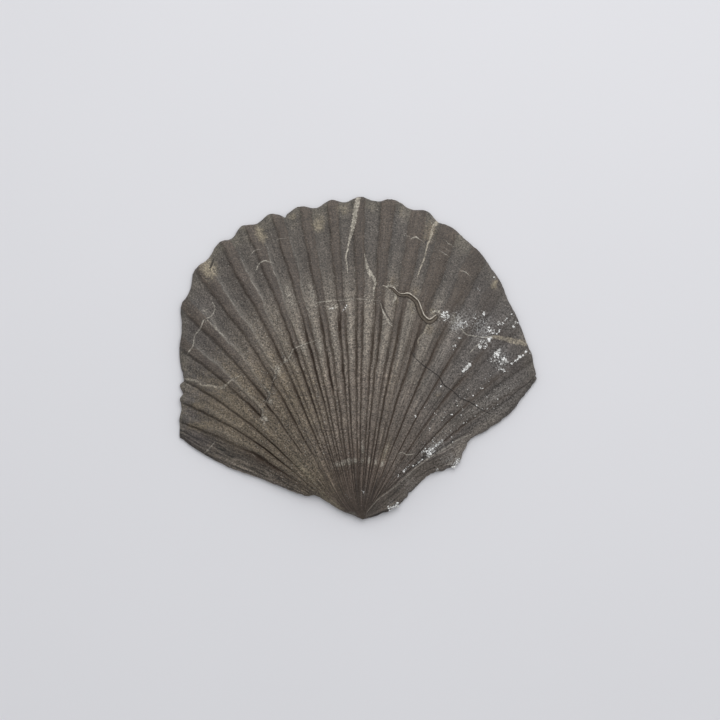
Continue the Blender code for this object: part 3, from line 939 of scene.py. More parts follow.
@dataclass(frozen=True)
class Painter:
    """Works out what is painted on the stone: rib shades, stains, rubbed places and drawn lines.
    The rib shades include grime and painted shade in the grooves, and painted highlights on the
    ribs' pale edges.

    Every channel is an attribute of the mesh that holds three numbers for each vertex.
    """

    relief: Relief
    shown_power: float = 0.3
    fading_shares: Span = (0.80, 0.99)
    left_fading: float = 0.4
    left_lost: Ramp = Ramp(0.25, 0.75, -0.3, 0.3)
    right_lost: Ramp = Ramp(0.9, 0.4, 0.3, 0.8)
    right_crisp: Ramp = Ramp(1.0, 1.9, 12.5, 15.5)
    left_spread: Span = (0.45, 1.2)
    right_spread_in: float = 1.4
    right_spread_out: Ramp = Ramp(0.6, 1.2, 10.0, 13.0)
    least_wide: float = 0.1
    wide_power: float = 0.6
    banded: Zone = Zone(((3.2, 4.4), END), ((0.40, 0.66), END))
    band_by_rib: Ramp = Ramp(1.0, 0.35, 15.5, 17.5)
    weak_band: Peak = Peak(0.5, 5.5, 2.0)
    weak_band_shares: Span = (0.66, 0.80)
    # Where the ribs' pale edges show: painted highlights on the lit shoulders of the bands.
    bright: Zone = Zone(((3.4, 4.4), (8.0, 11.0)), ((0.50, 0.62), (0.86, 0.97)))
    highlight_drift: Noise = Noise(0.11, 9.0, 2, 89, 0.01)
    highlight_spread: Span = (3.0, 1.0)
    streaky_flank: Zone = Zone((START, (0.6, 0.9)), ((0.12, 0.3), END))
    streaks: Noise = Noise(1.0, 1.0, 3, 79)
    streak_rate: Span = (26.0, 11.0)
    streak_level: float = 0.32
    smooth: Zone = Zone(((12.0, 15.0), END), (START, (0.62, 0.78)))
    smooth_streaks: float = 0.35
    smooth_speck: float = 0.5
    combed: Noise = Noise(0.85, 1.0, 2, 81)
    combed_rate: Span = (7.0, 9.0)
    combed_shares: Span = (0.16, 0.32)
    riblet: Peak = Peak(0.26, 0.0, 0.075)
    riblet_lines: Window = ((5.0, 9.0), (14.0, 17.0))
    flat_beyond: Span = (0.9, 1.2)
    flat_lines: Span = (0.6, 1.0)
    halt: Peak = Peak(1.0, 23.4, 1.1)
    halt_drift: Noise = Noise(0.9, 3.0, 2, 37)
    halt_lines: Window = ((3.5, 5.0), (15.5, 17.0))
    halt_pale: Noise = Noise(1.1, 5.0, 2, 39, 0.6)
    least_speck: float = 0.45
    inner_shares: Span = (0.5, 0.62)
    outer_speck: Ramp = Ramp(1.0, 0.5, 0.64, 0.86)
    beak_shares: Span = (0.06, 0.30)
    remnant_strength: float = 0.7
    flank_dark: float = 0.45
    dark_flank: Zone = Zone((START, (0.6, 0.9)), ((0.28, 0.42), END))
    cut_off: float = 30.0
    farthest: float = 9.0
    line_fading: float = 0.6

    @staticmethod
    def column(channel: str, part: int) -> int:
        """The place of one of a channel's three numbers among the numbers of all channels."""
        return 3 * CHANNELS.index(channel) + part

    def ribs(self, places: Places) -> list[Array]:
        """The shades of the nearest rib: its grooves, darkened by grime and painted shade, its dark
        band, and its pale edge, which is a painted highlight.

        Args:
            places: The places on the upper surface.

        Returns:
            Three channels: the distances to the left and right groove, cut short on the side where
            their grime and painted shade spread, with the distance from the band's middle in
            half-widths; the depths of the grooves and the strength of the band; and the distance and
            strength of the pale edge, a painted highlight, with the brightness of the streaks that run
            along the ribs.
        """
        line, share = places.line, places.share
        rib = self.relief.rib(places)
        near = places.radius / self.relief.full_at
        shown = rib.whole * np.minimum(near, 1.0) ** self.shown_power
        fading = before(self.fading_shares, share)
        left = rib.left_depth * (1.0 - rib.outwards * self.left_lost.at(rib.side))
        left = left * fading ** self.left_fading
        right = rib.right_depth * (1.0 - rib.outwards * self.right_lost.at(rib.side))
        right = right * fading * self.right_crisp.at(line)
        weak = self.weak_band.at(line) * before(self.weak_band_shares, share)
        band = self.banded.at(places) * self.band_by_rib.at(line) * (1.0 - weak)
        wide = np.clip(near, self.least_wide, 1.0) ** self.wide_power
        # Each groove's grime and painted shade reach further on one side of it than on the other.
        to_left = lopsided(rib.left, *self.left_spread) * wide
        to_right = lopsided(rib.right, self.right_spread_in, self.right_spread_out.at(line)) * wide
        to_band = np.abs(rib.left + rib.edge) / (rib.left - rib.edge)
        # The distance from the band's right edge, along which a pale line is painted as a highlight.
        highlight = lopsided(rib.edge - self.highlight_drift.at(places.xy), *self.highlight_spread)
        place = np.stack((line, share), axis=-1)
        level = self.streak_level + self.smooth_streaks * self.smooth.at(places)
        level = level + self.streaky_flank.at(places)
        streaks = (self.streaks.at(place * self.streak_rate) * level
                   + self.combed.at(place * self.combed_rate) * before(self.combed_shares, share))
        riblet = self.riblet.at((rib.left + rib.right) / 2.0)
        riblet = riblet * (1.0 - rib.outwards) * within(self.riblet_lines, line) * shown
        channels = ((to_left, to_right, to_band),
                    (left * shown, np.minimum(right * shown, 1.0), band * shown),
                    (highlight, self.bright.at(places) * shown, streaks + riblet))
        return [np.stack(channel, axis=-1) for channel in channels]

    def stains(self, xy: Array) -> dict[Stain, Array]:
        """Adds up the patches of each colour.

        Args:
            xy: The places in millimetres from the beak.

        Returns:
            How strongly each colour shows at each place, from 0 to 1.
        """
        return {stain: np.clip(sum(patch.amount(xy) for patch in patches), 0.0, 1.0)
                for stain, patches in PATCHES.items()}

    def lines(self, xy: Array, kind: Mark) -> Array:
        """Finds the nearest line of one kind.

        Args:
            xy: The places in millimetres from the beak.
            kind: The kind of line.

        Returns:
            The distance across it in half-widths, its strength and its warmth, for each place.
        """
        flat = xy.reshape(-1, 2)
        best = np.full(len(flat), self.farthest)
        drawn = np.zeros((len(flat), 3))
        drawn[:, 0] = self.cut_off
        for streak in STREAKS[kind]:
            near, signed, half = streak.measure(flat)
            away = np.abs(signed)
            closer = away < best[near]
            chosen = near[closer]
            best[chosen] = away[closer]
            drawn[chosen, 0] = np.clip(signed[closer] / half[closer], -self.cut_off, self.cut_off)
            fading = before((self.line_fading * streak.reach, streak.reach), away[closer])
            drawn[chosen, 1] = streak.strength * fading
            drawn[chosen, 2] = streak.warmth
        return drawn.reshape(*xy.shape[:-1], 3)

    def paint(self, places: Places) -> Array:
        """Fills every channel.

        Args:
            places: The places on the upper surface.

        Returns:
            The channels of each place, three numbers a channel, side by side.
        """
        line, share, xy = places.line, places.share, places.xy
        stains = self.stains(xy)
        ribs = self.ribs(places)
        flat = ease(*self.flat_beyond, ribs[0][..., 2]) * ease(*self.flat_lines, line)
        halt = self.halt.at(places.radius / MM - self.halt_drift.at(xy)) * flat
        pale = halt * within(self.halt_lines, line) * self.halt_pale.at(xy)
        speck = np.maximum(flat, before(self.inner_shares, share))
        speck = self.least_speck + (1.0 - self.least_speck) * speck
        speck = speck * self.outer_speck.at(share) * ease(*self.beak_shares, share)
        speck = speck * (1.0 - self.smooth_speck * self.smooth.at(places))
        remnant = self.remnant_strength * self.relief.wear.remnant.at(places)
        dark = stains[Stain.DARK] + self.flank_dark * self.dark_flank.at(places)
        colours = np.stack((stains[Stain.OLIVE], stains[Stain.GRAPHITE], stains[Stain.BEIGE]), -1)
        rubs = np.stack((speck, stains[Stain.CHALK], remnant), -1)
        growth = np.stack((share, stains[Stain.PALE] + pale, dark), -1)
        drawn = [self.lines(xy, kind) for kind in Mark]
        return np.concatenate((*ribs, colours, rubs, growth, *drawn), -1)


@dataclass
class SurfaceBuilder:
    """Collects grids of vertices, with their painted channels, into one closed mesh."""

    points: list[Array] = field(default_factory=list)
    paint: list[Array] = field(default_factory=list)
    faces: list[Array] = field(default_factory=list)
    count: int = 0

    def add(self, points: Array, paint: Array) -> Array:
        """Adds places with their channels.

        Args:
            points: The (x, y, z) of each place, in any layout.
            paint: The numbers of its channels, in the same layout.

        Returns:
            Their vertex numbers, in the same layout.
        """
        flat = points.reshape(-1, 3)
        numbers = np.arange(self.count, self.count + len(flat)).reshape(points.shape[:-1])
        self.points.append(flat)
        self.paint.append(paint.reshape(len(flat), -1))
        self.count += len(flat)
        return numbers

    def quads(self, grid: Array) -> None:
        """Fills a grid of vertex numbers with four-sided faces."""
        corners = (grid[:-1, :-1], grid[:-1, 1:], grid[1:, 1:], grid[1:, :-1])
        self.faces.append(np.stack(corners, axis=-1).reshape(-1, 4))

    def fan_to(self, tip: int, ring: Array) -> None:
        """Closes a row of vertices to one tip with triangles."""
        tips = np.full(len(ring) - 1, tip)
        self.faces.append(np.stack((tips, ring[1:], ring[:-1]), axis=-1))

    def mesh(self, name: str, channels: tuple[str, ...]) -> bpy.types.Mesh:
        """Makes the Blender mesh, smooth shaded, with each channel as a vector attribute.

        Args:
            name: The mesh's name.
            channels: The names of the channels, three numbers each.

        Returns:
            The mesh.
        """
        mesh = bpy.data.meshes.new(name)
        faces = [face for block in self.faces for face in block.tolist()]
        mesh.from_pydata(np.concatenate(self.points), [], faces)
        mesh.shade_smooth()
        paint = np.concatenate(self.paint)
        for place, channel in enumerate(channels):
            attribute = mesh.attributes.new(channel, "FLOAT_VECTOR", "POINT")
            values = paint[:, 3 * place:3 * place + 3].astype(np.float32)
            attribute.data.foreach_set("vector", values.ravel())
        return mesh


def crowded(count: int, density: Array, ends: Span) -> Array:
    """Places from one end to the other, closest together where the density is greatest.

    Args:
        count: How many places.
        density: How crowded they are, read evenly from end to end.
        ends: The first and last place.

    Returns:
        The places, where the running total of the density passes equal steps.
    """
    even = np.linspace(*ends, len(density))
    total = np.concatenate(([0.0], np.cumsum(0.5 * (density[1:] + density[:-1]))))
    return np.interp(np.linspace(0.0, total[-1], count), total, even)


def dress(mesh: bpy.types.Mesh, material: bpy.types.Material) -> None:
    """Makes a piece of a mesh, at the origin: it rides on the body and stands for the CAD node.

    Args:
        mesh: The finished mesh, already in its place.
        material: What it is made of.
    """
    mesh.materials.append(material)
    piece = bpy.data.objects.new(mesh.name, mesh)
    bpy.context.scene.collection.objects.link(piece)
    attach(piece, BODY)
    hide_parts(NODE)
    LOG.info("%s: %d faces", mesh.name, len(mesh.polygons))


@dataclass
class FossilValve:
    """The stone valve as one closed surface: ribbed top, broken edge, flat underside.

    The chips, the carved trench and cracks, the dents and the lumps are in millimetres.
    """

    relief: Relief = Relief()
    columns: int = 541
    rows: int = 132
    wall_rings: int = 7
    under_rings: int = 17
    wall_lean: float = 0.5 * MM
    under_inset: float = 6.0 * MM
    line_readings: int = 4401
    rib_crowding: Peak = Peak(1.2, 0.16, 0.13, 1.0)
    share_readings: int = 400
    margin_crowding: Peak = Peak(1.8, 1.0, 0.02, 1.0)
    first_share: float = 0.03
    rounding: float = 1.1 * MM
    rounding_width: float = 1.5 * MM
    chip: Noise = Noise(0.42, 2.4, 3, 61, 0.042)
    ragged: Noise = Noise(0.9, 2.0, 3, 67, 0.045)
    ragged_lines: Span = (RIB_COUNT + 0.5, RIB_COUNT + 1.2)
    notch: tuple[float, float] = (-30.9, 119.3)
    notch_bite: Peak = Peak(1.1, 0.0, 0.9)
    bite_width: float = 2.2 * MM
    bite_towards: tuple[float, float] = (1.0, 0.9)
    trench: Peak = Peak(-0.75, 0.0, 1.05)
    crack_depth: float = 0.16
    crack_half: float = 0.2
    dent: Noise = Noise(0.35, 1.9, 3, 71, 0.0875)
    worn_wall: Span = (0.0, 0.35)
    grooves_below: float = 0.3
    lines_below: float = 0.35
    lump: Noise = Noise(0.275, 7.0, 4, 83, 0.275)
    under_power: float = 1.25
    beak_sink: float = 0.25 * MM
    headroom: float = 0.05 * MM
    narrowed: float = 0.999

    def __post_init__(self) -> None:
        """Finds the shift from the beak to the CAD frame: both outlines have the same middle."""
        low, high = (np.array(corner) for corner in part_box(NODE))
        self.fan = self.relief.fan
        self.painter = Painter(self.relief)
        self.shift = (low + high)[:2] / 2.0 - self.fan.middle()
        self.ceiling = float(high[2])

    def chips(self, xy: Array, line: Array) -> Array:
        """How far chips bite in from the smooth outline, before they fade inwards.

        Args:
            xy: The (x, y) of each place from the beak in millimetres.
            line: Its fan line.

        Returns:
            The depth of the chips at each place, in metres.
        """
        fine = np.maximum(0.0, self.chip.at(xy))
        ragged = np.maximum(0.0, self.ragged.at(xy)) * ease(*self.ragged_lines, line)
        away = np.hypot(*np.moveaxis(xy - self.notch, -1, 0))
        return (fine + ragged + self.notch_bite.at(away)) * MM

    def height(self, places: Places) -> Array:
        """The height of the upper surface, worn stone and carved marks included.

        Args:
            places: The places on the upper surface.

        Returns:
            The height of each place.
        """
        relief = self.relief
        z = relief.dome(places) + relief.ribs(places) + relief.wear.height(places) * MM
        flat = places.xy.reshape(-1, 2)
        carved = np.zeros(len(flat))
        near, away, _ = Streak(TUBE_ROUTE).measure(flat)
        np.add.at(carved, near, self.trench.at(away))
        for crack in STREAKS[Mark.CRACK]:
            near, away, half = crack.measure(flat)
            groove = bell(away, np.maximum(half, self.crack_half))
            np.add.at(carved, near, -self.crack_depth * crack.strength * groove)
        return z + carved.reshape(z.shape) * MM

    def height_at(self, xy: Array) -> Array:
        """The height of the upper surface at any place.

        Args:
            xy: The (x, y) of each place from the beak in metres.

        Returns:
            The height of each place.
        """
        line, radius = self.fan.locate(xy)
        share = np.minimum(radius / self.fan.reach(line), 1.0)
        return self.height(Places(line, share, radius, xy / MM))

    def top(self) -> tuple[Array, Array]:
        """The upper surface's grid.

        Returns:
            The (x, y, z) of each grid place from the beak, and its painted channels.
        """
        crest = np.abs(self.fan.phase(np.linspace(0.0, RIGHT_LINE, self.line_readings)))
        lines = crowded(self.columns, self.rib_crowding.at(crest), (0.0, RIGHT_LINE))
        density = self.margin_crowding.at(np.linspace(0.0, 1.0, self.share_readings))
        shares = crowded(self.rows, density, (self.first_share, 1.0))
        line, share = np.meshgrid(lines, shares)
        reach = self.fan.reach(lines)[None]
        radius = share * reach
        xy = self.fan.place(line, radius)
        inside = self.fan.edge_distance(line, radius, reach)
        places = Places(line, share, radius, xy / MM)
        z = self.height(places)
        z = z - self.rounding * np.square(np.clip(1.0 - inside / self.rounding_width, 0.0, 1.0))
        paint = self.painter.paint(places)
        inwards = self.fan.middle() * self.bite_towards - xy
        inwards = inwards / np.linalg.norm(inwards, axis=-1, keepdims=True)
        bite = self.chips(xy / MM, line) * np.clip(1.0 - inside / self.bite_width, 0.0, 1.0)
        return np.concatenate((xy + inwards * bite[..., None], z[..., None]), axis=-1), paint

    def broken_edge(self, surface: SurfaceBuilder, outline: Array) -> list[Array]:
        """Adds the rings of the broken wall and the rough underside below the outline.

        The wall leans in and its rings are pushed in by noise.  Below the lip each ring is a copy of
        the outline drawn closer to its middle; it lies a little above the table where noise lifts it.

        Args:
            surface: The mesh being built.
            outline: The vertex numbers of the top's rim, in order.

        Returns:
            The vertex numbers of each ring, from the rim inwards.
        """
        rim = np.concatenate(surface.points)[outline]
        paint = np.concatenate(surface.paint)[outline]
        centre = (rim.min(axis=0) + rim.max(axis=0))[:2] / 2.0
        inwards = centre - rim[:, :2]
        room = np.linalg.norm(inwards, axis=1, keepdims=True)
        inwards = inwards / room
        rings = [outline]
        column = Painter.column
        worn = column("rubs", 2)
        drawn = [column(kind.value, 1) for kind in Mark]
        paint[:, column("depths", 0):column("edges", 0)] *= self.grooves_below
        paint[:, drawn] *= self.lines_below
        for step in np.linspace(0.0, 1.0, self.wall_rings + 1)[1:]:
            z = rim[:, 2] + (self.relief.lip - rim[:, 2]) * step
            place = np.column_stack((rim[:, :2], z)) / MM
            dent = np.maximum(0.0, self.dent.at(place)) * np.sin(np.pi * step) * MM
            xy = rim[:, :2] + inwards * (self.wall_lean * step + dent[:, None])
            painted = paint.copy()
            painted[:, worn] = ease(*self.worn_wall, step)
            rings.append(surface.add(np.column_stack((xy, z)), painted))
        for step in np.linspace(0.0, 1.0, self.under_rings + 1)[1:-1] ** self.under_power:
            away = step * (room - self.wall_lean)
            xy = rim[:, :2] + inwards * (self.wall_lean + away)
            depth = ease(0.0, self.under_inset, away[:, 0])
            z = self.relief.lip * (1.0 - depth) + self.lump.at(xy / MM) * MM * depth
            painted = paint.copy()
            painted[:, worn] = 1.0
            painted[:, drawn] = 0.0
            rings.append(surface.add(np.column_stack((xy, z)), painted))
        return rings

    def build(self, material: bpy.types.Material) -> None:
        """Builds the closed mesh with its painted channels, in its place in the CAD frame.

        Args:
            material: The stone.
        """
        top, paint = self.top()
        top[..., 2] *= min(1.0, (self.ceiling - self.headroom) / float(top[..., 2].max()))
        surface = SurfaceBuilder()
        beak = np.array([0.0, 0.0, self.relief.rim.first - self.beak_sink])
        tip = surface.add(beak, paint[0, paint.shape[1] // 2])
        grid = surface.add(top, paint)
        surface.quads(grid[:, ::-1])
        surface.fan_to(int(tip), grid[0, ::-1])
        outline = np.concatenate((np.atleast_1d(tip), grid[:, 0], grid[-1, 1:-1], grid[::-1, -1]))
        rings = np.stack(self.broken_edge(surface, outline))
        surface.quads(np.concatenate((rings, rings[:, :1]), axis=1))
        last = np.concatenate(surface.points)[rings[-1]]
        middle = surface.add(last.mean(axis=0), np.concatenate(surface.paint)[rings[-1][0]])
        surface.fan_to(int(middle), np.append(rings[-1], rings[-1][0])[::-1])
        lowest = min(float(points[:, 2].min()) for points in surface.points)
        offset = np.array([*self.shift, -lowest])
        scale = np.array([self.narrowed, self.narrowed, 1.0])
        surface.points = [(points + offset) * scale for points in surface.points]
        dress(surface.mesh("fossil_valve", CHANNELS), material)


@dataclass
class WormTube:
    """A lime tube that a worm built on the shell, its crest broken open along one side.

    Its profile's first number goes across the tube, in half-widths; its second goes up, in
    millimetres.
    """

    valve: FossilValve
    route: Points = TUBE_ROUTE
    half_width: float = 0.92
    stations: int = 150
    end_steps: tuple[float, float] = (1.2, 0.6)
    end_girth: Ramp = Ramp(0.38, 1.0, 0.0, 1.0)
    growth: Ramp = Ramp(0.62, 1.08, 1.0, 8.5)
    uneven: Noise = Noise(0.10, 2.6, 2, 97, 1.0)
    ragged: Noise = Noise(0.11, 0.8, 2, 101)
    worn: Noise = Noise(0.7, 1.7, 2, 103, 0.66)
    raised: float = 0.55
    smoothing: int = 9
    footing: float = -0.5
    # Painted highlight on the rim's lit upper side; painted shade on the lower side and inner face.
    rim: Peak = Peak(1.0, -0.90, 0.26)
    shaded_side: Peak = Peak(1.0, 0.92, 0.34)
    inner: Peak = Peak(0.35, -0.35, 0.25)
    profile: Points = (
        (-1.3, -0.55), (-1.12, -0.1), (-1.02, 0.28), (-0.92, 0.5), (-0.78, 0.6), (-0.62, 0.55),
        (-0.52, 0.34), (-0.4, 0.02), (-0.18, -0.22), (0.12, -0.3), (0.4, -0.22), (0.58, 0.0),
        (0.68, 0.2), (0.8, 0.3), (0.94, 0.26), (1.06, 0.06), (1.18, -0.22), (1.3, -0.6),
        (0.6, -0.95), (-0.6, -0.95))

    def build(self, material: bpy.types.Material) -> None:
        """Carries the broken profile along the route, a little above and below the valve's surface.

        Each place is the route's point, moved across and up by the profile.  The profile narrows
        at both ends and grows along the route, and noise makes it uneven.

        Args:
            material: The tube's lime.
        """
        last = len(self.route) - 1
        fine = np.linspace(0.0, last, self.stations)
        path = along_route(self.route, fine)
        ahead = np.gradient(path, axis=0)
        ahead /= np.linalg.norm(ahead, axis=1, keepdims=True)
        left = np.stack((-ahead[:, 1], ahead[:, 0]), axis=-1)
        profile = np.array(self.profile)
        ends = np.minimum(fine / self.end_steps[0], (last - fine) / self.end_steps[1])
        girth = self.end_girth.at(ends) * self.growth.at(fine) * self.uneven.at(path)
        across = -profile[None, :, 0] * girth[:, None] * self.half_width
        xy = path[:, None] + left[:, None] * across[..., None]
        bed = self.valve.height_at(path * MM) / MM + self.raised
        kernel = np.full(self.smoothing, 1.0 / self.smoothing)
        level = np.convolve(np.pad(bed, self.smoothing // 2, mode="edge"), kernel, mode="valid")
        places = np.concatenate((xy, np.broadcast_to(profile[None, :, 1:], xy[..., :1].shape)), -1)
        ragged = self.ragged.at(places) * (profile[None, :, 1] > self.footing)
        z = level[:, None] + profile[None, :, 1] * girth[:, None] + ragged
        points = np.concatenate((xy * MM + self.valve.shift, z[..., None] * MM), axis=-1)
        # The tube's paint: the rim's highlight and the shaded side's painted shade.
        rim = self.rim.at(profile[:, 0])
        shaded_side = self.shaded_side.at(profile[:, 0]) + self.inner.at(profile[:, 0])
        paint = np.stack((rim, shaded_side, np.zeros_like(rim)), axis=-1)
        worn = np.ones((self.stations, 3))
        worn[:, 0] = self.worn.at(path)
        surface = SurfaceBuilder()
        grid = surface.add(points, paint[None] * worn[:, None])
        surface.quads(np.concatenate((grid, grid[:, :1]), axis=1)[:, ::-1])
        for end, order in ((0, 1), (-1, -1)):
            cap = surface.add(points[end].mean(axis=0), paint.mean(axis=0))
            ring = np.append(grid[end], grid[end][0])
            surface.fan_to(int(cap), ring[::order])
        dress(surface.mesh("worm_tube", ("tube",)), material)


@dataclass(frozen=True)
class Cluster:
    """White grains strewn along a short line or round a small ring, in millimetres from the beak."""

    start: tuple[float, float]
    end: tuple[float, float]
    spread: float
    count: int
    size: float
    ring: float = 0.0


CLUSTERS = tuple(Cluster(*row) for row in (
    ((32.2, 79.7), (32.2, 79.7), 0.32, 30, 0.4, 1.3), ((31.4, 80.4), (32, 78.6), 0.25, 8, 0.5),
    ((39.9, 76), (39.9, 76), 0.28, 18, 0.42, 1.15), ((44.4, 79.5), (44.4, 79.5), 0.25, 7, 0.36, 0.7),
    ((47.1, 80.1), (47.4, 80.6), 0.25, 8, 0.48), ((49.6, 75), (49.9, 73), 0.45, 18, 0.44),
    ((50.2, 73.8), (51.4, 73), 0.4, 12, 0.4), ((52.6, 73.9), (52.6, 73.9), 0.3, 14, 0.42, 0.9),
    ((52.4, 76.7), (54.6, 76.3), 0.4, 12, 0.4), ((54.6, 76.3), (55.8, 78), 0.24, 10, 0.38),
    ((57.8, 79.9), (58.3, 80.3), 0.15, 4, 0.6), ((56.3, 78.4), (56.5, 78.7), 0.12, 3, 0.5),
    ((59.8, 76.7), (60.1, 77.1), 0.3, 8, 0.42), ((59, 75.3), (59.3, 75.5), 0.15, 4, 0.52),
    ((49.3, 69.6), (49.7, 71.2), 0.3, 16, 0.54), ((46.9, 68.4), (46.9, 68.4), 0.35, 30, 0.42, 1.35),
    ((45.2, 67.4), (46, 67.2), 0.25, 6, 0.52), ((37.5, 71.3), (37.8, 70.9), 0.2, 4, 0.4),
    ((36, 67.4), (36, 67.4), 0.2, 10, 0.42, 0.75), ((53.7, 66.8), (51.6, 63.9), 0.42, 36, 0.56),
    ((50.1, 62.9), (51.7, 61.1), 0.35, 9, 0.4), ((55, 62.7), (56.3, 61.5), 0.42, 24, 0.58),
    ((53.7, 61.4), (54.4, 61.1), 0.3, 8, 0.42), ((55.3, 58.8), (55.5, 57.8), 0.25, 8, 0.5),
    ((53.2, 58.9), (54.4, 59.4), 0.35, 8, 0.38), ((52.6, 65), (55, 59), 1.1, 22, 0.34),
    ((58, 60.8), (58.8, 61.4), 0.22, 9, 0.54), ((59.4, 62), (61, 63), 0.28, 14, 0.5),
    ((60.8, 63), (62.6, 64.3), 0.34, 22, 0.54), ((62.6, 64.2), (64.5, 66.2), 0.2, 12, 0.44),
    ((65.3, 65), (65.4, 65), 0.1, 1, 0.4), ((51.6, 94.5), (52.2, 94.1), 0.2, 3, 0.3),
    ((45, 90.4), (45.8, 89.4), 0.3, 5, 0.3), ((41.4, 59.6), (41.8, 61.2), 0.28, 16, 0.5),
    ((39.5, 58.1), (41, 59.9), 0.32, 24, 0.66), ((39.2, 57.8), (39.6, 58.4), 0.2, 6, 0.6),
    ((20.2, 41), (20.9, 40), 0.3, 6, 0.38), ((25.9, 35.8), (26.3, 35.2), 0.3, 5, 0.38),
    ((39, 43.1), (39.4, 42.7), 0.2, 4, 0.36), ((46.3, 51.8), (46.8, 51.2), 0.25, 5, 0.34),
    ((22.6, 26.2), (26.4, 27.6), 0.35, 18, 0.36), ((25.4, 25), (28.6, 28.8), 0.45, 44, 0.52),
    ((28.4, 28.8), (31.6, 31.4), 0.34, 22, 0.44), ((15.8, 18.9), (18.4, 21.4), 0.16, 16, 0.38),
    ((13.6, 16.6), (14.3, 17.4), 0.2, 6, 0.34), ((19.8, 20.8), (23.4, 23.6), 0.18, 22, 0.34),
    ((36.2, 21), (37.4, 23.6), 0.6, 36, 0.5), ((28.6, 19.4), (29.6, 18.9), 0.5, 9, 0.36),
    ((10.2, 3.9), (14.4, 6.4), 0.4, 42, 0.5), ((0.3, 11.2), (1.1, 10.6), 0.4, 6, 0.26),
    ((-12.9, 82.3), (-11, 82.8), 0.2, 6, 0.3), ((-7.4, 80), (-6.6, 83.6), 0.4, 9, 0.32),
    ((27, 36), (54, 60), 4, 55, 0.3), ((24, 28), (52, 46), 1.6, 45, 0.3),
))


@dataclass
class MineralGrains:
    """Hundreds of small white crystals that stick in the stone, as one mesh."""

    valve: FossilValve
    seed: int = 7
    flatness: float = 0.62
    sunk: float = 0.22
    size_spread: float = 0.42
    corner_range: Span = (0.62, 1.25)
    length_range: Span = (0.7, 1.5)
    width_range: Span = (0.6, 1.1)

    def pebble(self) -> tuple[Array, Array]:
        """A block with cut corners: the twelve corners and twenty faces of an icosahedron.

        Returns:
            The corners, one unit from the middle, and the faces as vertex numbers.
        """
        tall = (1.0 + 5.0 ** 0.5) / 2.0
        pairs = np.array([(a, b * tall) for a in (-1.0, 1.0) for b in (-1.0, 1.0)])
        zero = np.zeros((4, 1))
        corners = np.concatenate((np.hstack((zero, pairs)), np.hstack((pairs, zero)),
                                  np.hstack((pairs[:, 1:], zero, pairs[:, :1]))))
        apart = np.linalg.norm(corners[:, None] - corners[None], axis=-1)
        near = np.isclose(apart, 2.0)
        faces = [(a, b, c) for a in range(12) for b in range(a + 1, 12) for c in range(b + 1, 12)
                 if near[a, b] and near[b, c] and near[a, c]]
        normal = np.array([np.cross(corners[b] - corners[a], corners[c] - corners[a]) @ corners[a]
                           for a, b, c in faces])
        faces = np.array([f if n > 0.0 else f[::-1] for f, n in zip(faces, normal)])
        return corners / np.linalg.norm(corners[0]), faces

    def build(self, material: bpy.types.Material) -> None:
        """Strews the grains and half sinks each in the surface below it.

        Args:
            material: The white mineral.
        """
        dice = np.random.default_rng(self.seed)
        start, end, spread, size, ring = (
            np.concatenate([np.tile(getattr(cluster, name), (cluster.count, 1))
                            for cluster in CLUSTERS])
            for name in ("start", "end", "spread", "size", "ring"))
        count = len(start)
        along = dice.random((count, 1))
        angle = 2.0 * np.pi * dice.random((count, 1))
        xy = start + (end - start) * along + dice.normal(size=(count, 2)) * spread
        xy = xy + ring * np.hstack((np.cos(angle), np.sin(angle)))
        radius = 0.5 * size[:, 0] * dice.lognormal(0.0, self.size_spread, count)
        corners, faces = self.pebble()
        shape = corners[None] * dice.uniform(*self.corner_range, (count, len(corners), 1))
        stretch = np.stack((dice.uniform(*self.length_range, count),
                            dice.uniform(*self.width_range, count),
                            np.full(count, self.flatness)), axis=-1)
        shape = shape * stretch[:, None]
        turn = dice.uniform(0.0, 2.0 * np.pi, count)
        cos, sin = np.cos(turn)[:, None], np.sin(turn)[:, None]
        x = shape[..., 0] * cos - shape[..., 1] * sin
        y = shape[..., 0] * sin + shape[..., 1] * cos
        spots = xy[:, None] + np.stack((x, y), axis=-1) * radius[:, None, None]
        ground = self.valve.height_at(xy * MM) / MM
        z = ground[:, None] + (shape[..., 2] - self.sunk) * radius[:, None]
        points = np.concatenate((spots * MM + self.valve.shift, z[..., None] * MM), axis=-1)
        tone = np.broadcast_to(dice.random((count, 1, 1)), (count, len(corners), 3))
        surface = SurfaceBuilder()
        numbers = surface.add(points, tone)
        surface.faces.append(numbers[:, faces].reshape(-1, 3))
        mesh = surface.mesh("mineral_grains", ("tone",))
        mesh.shade_flat()
        dress(mesh, material)


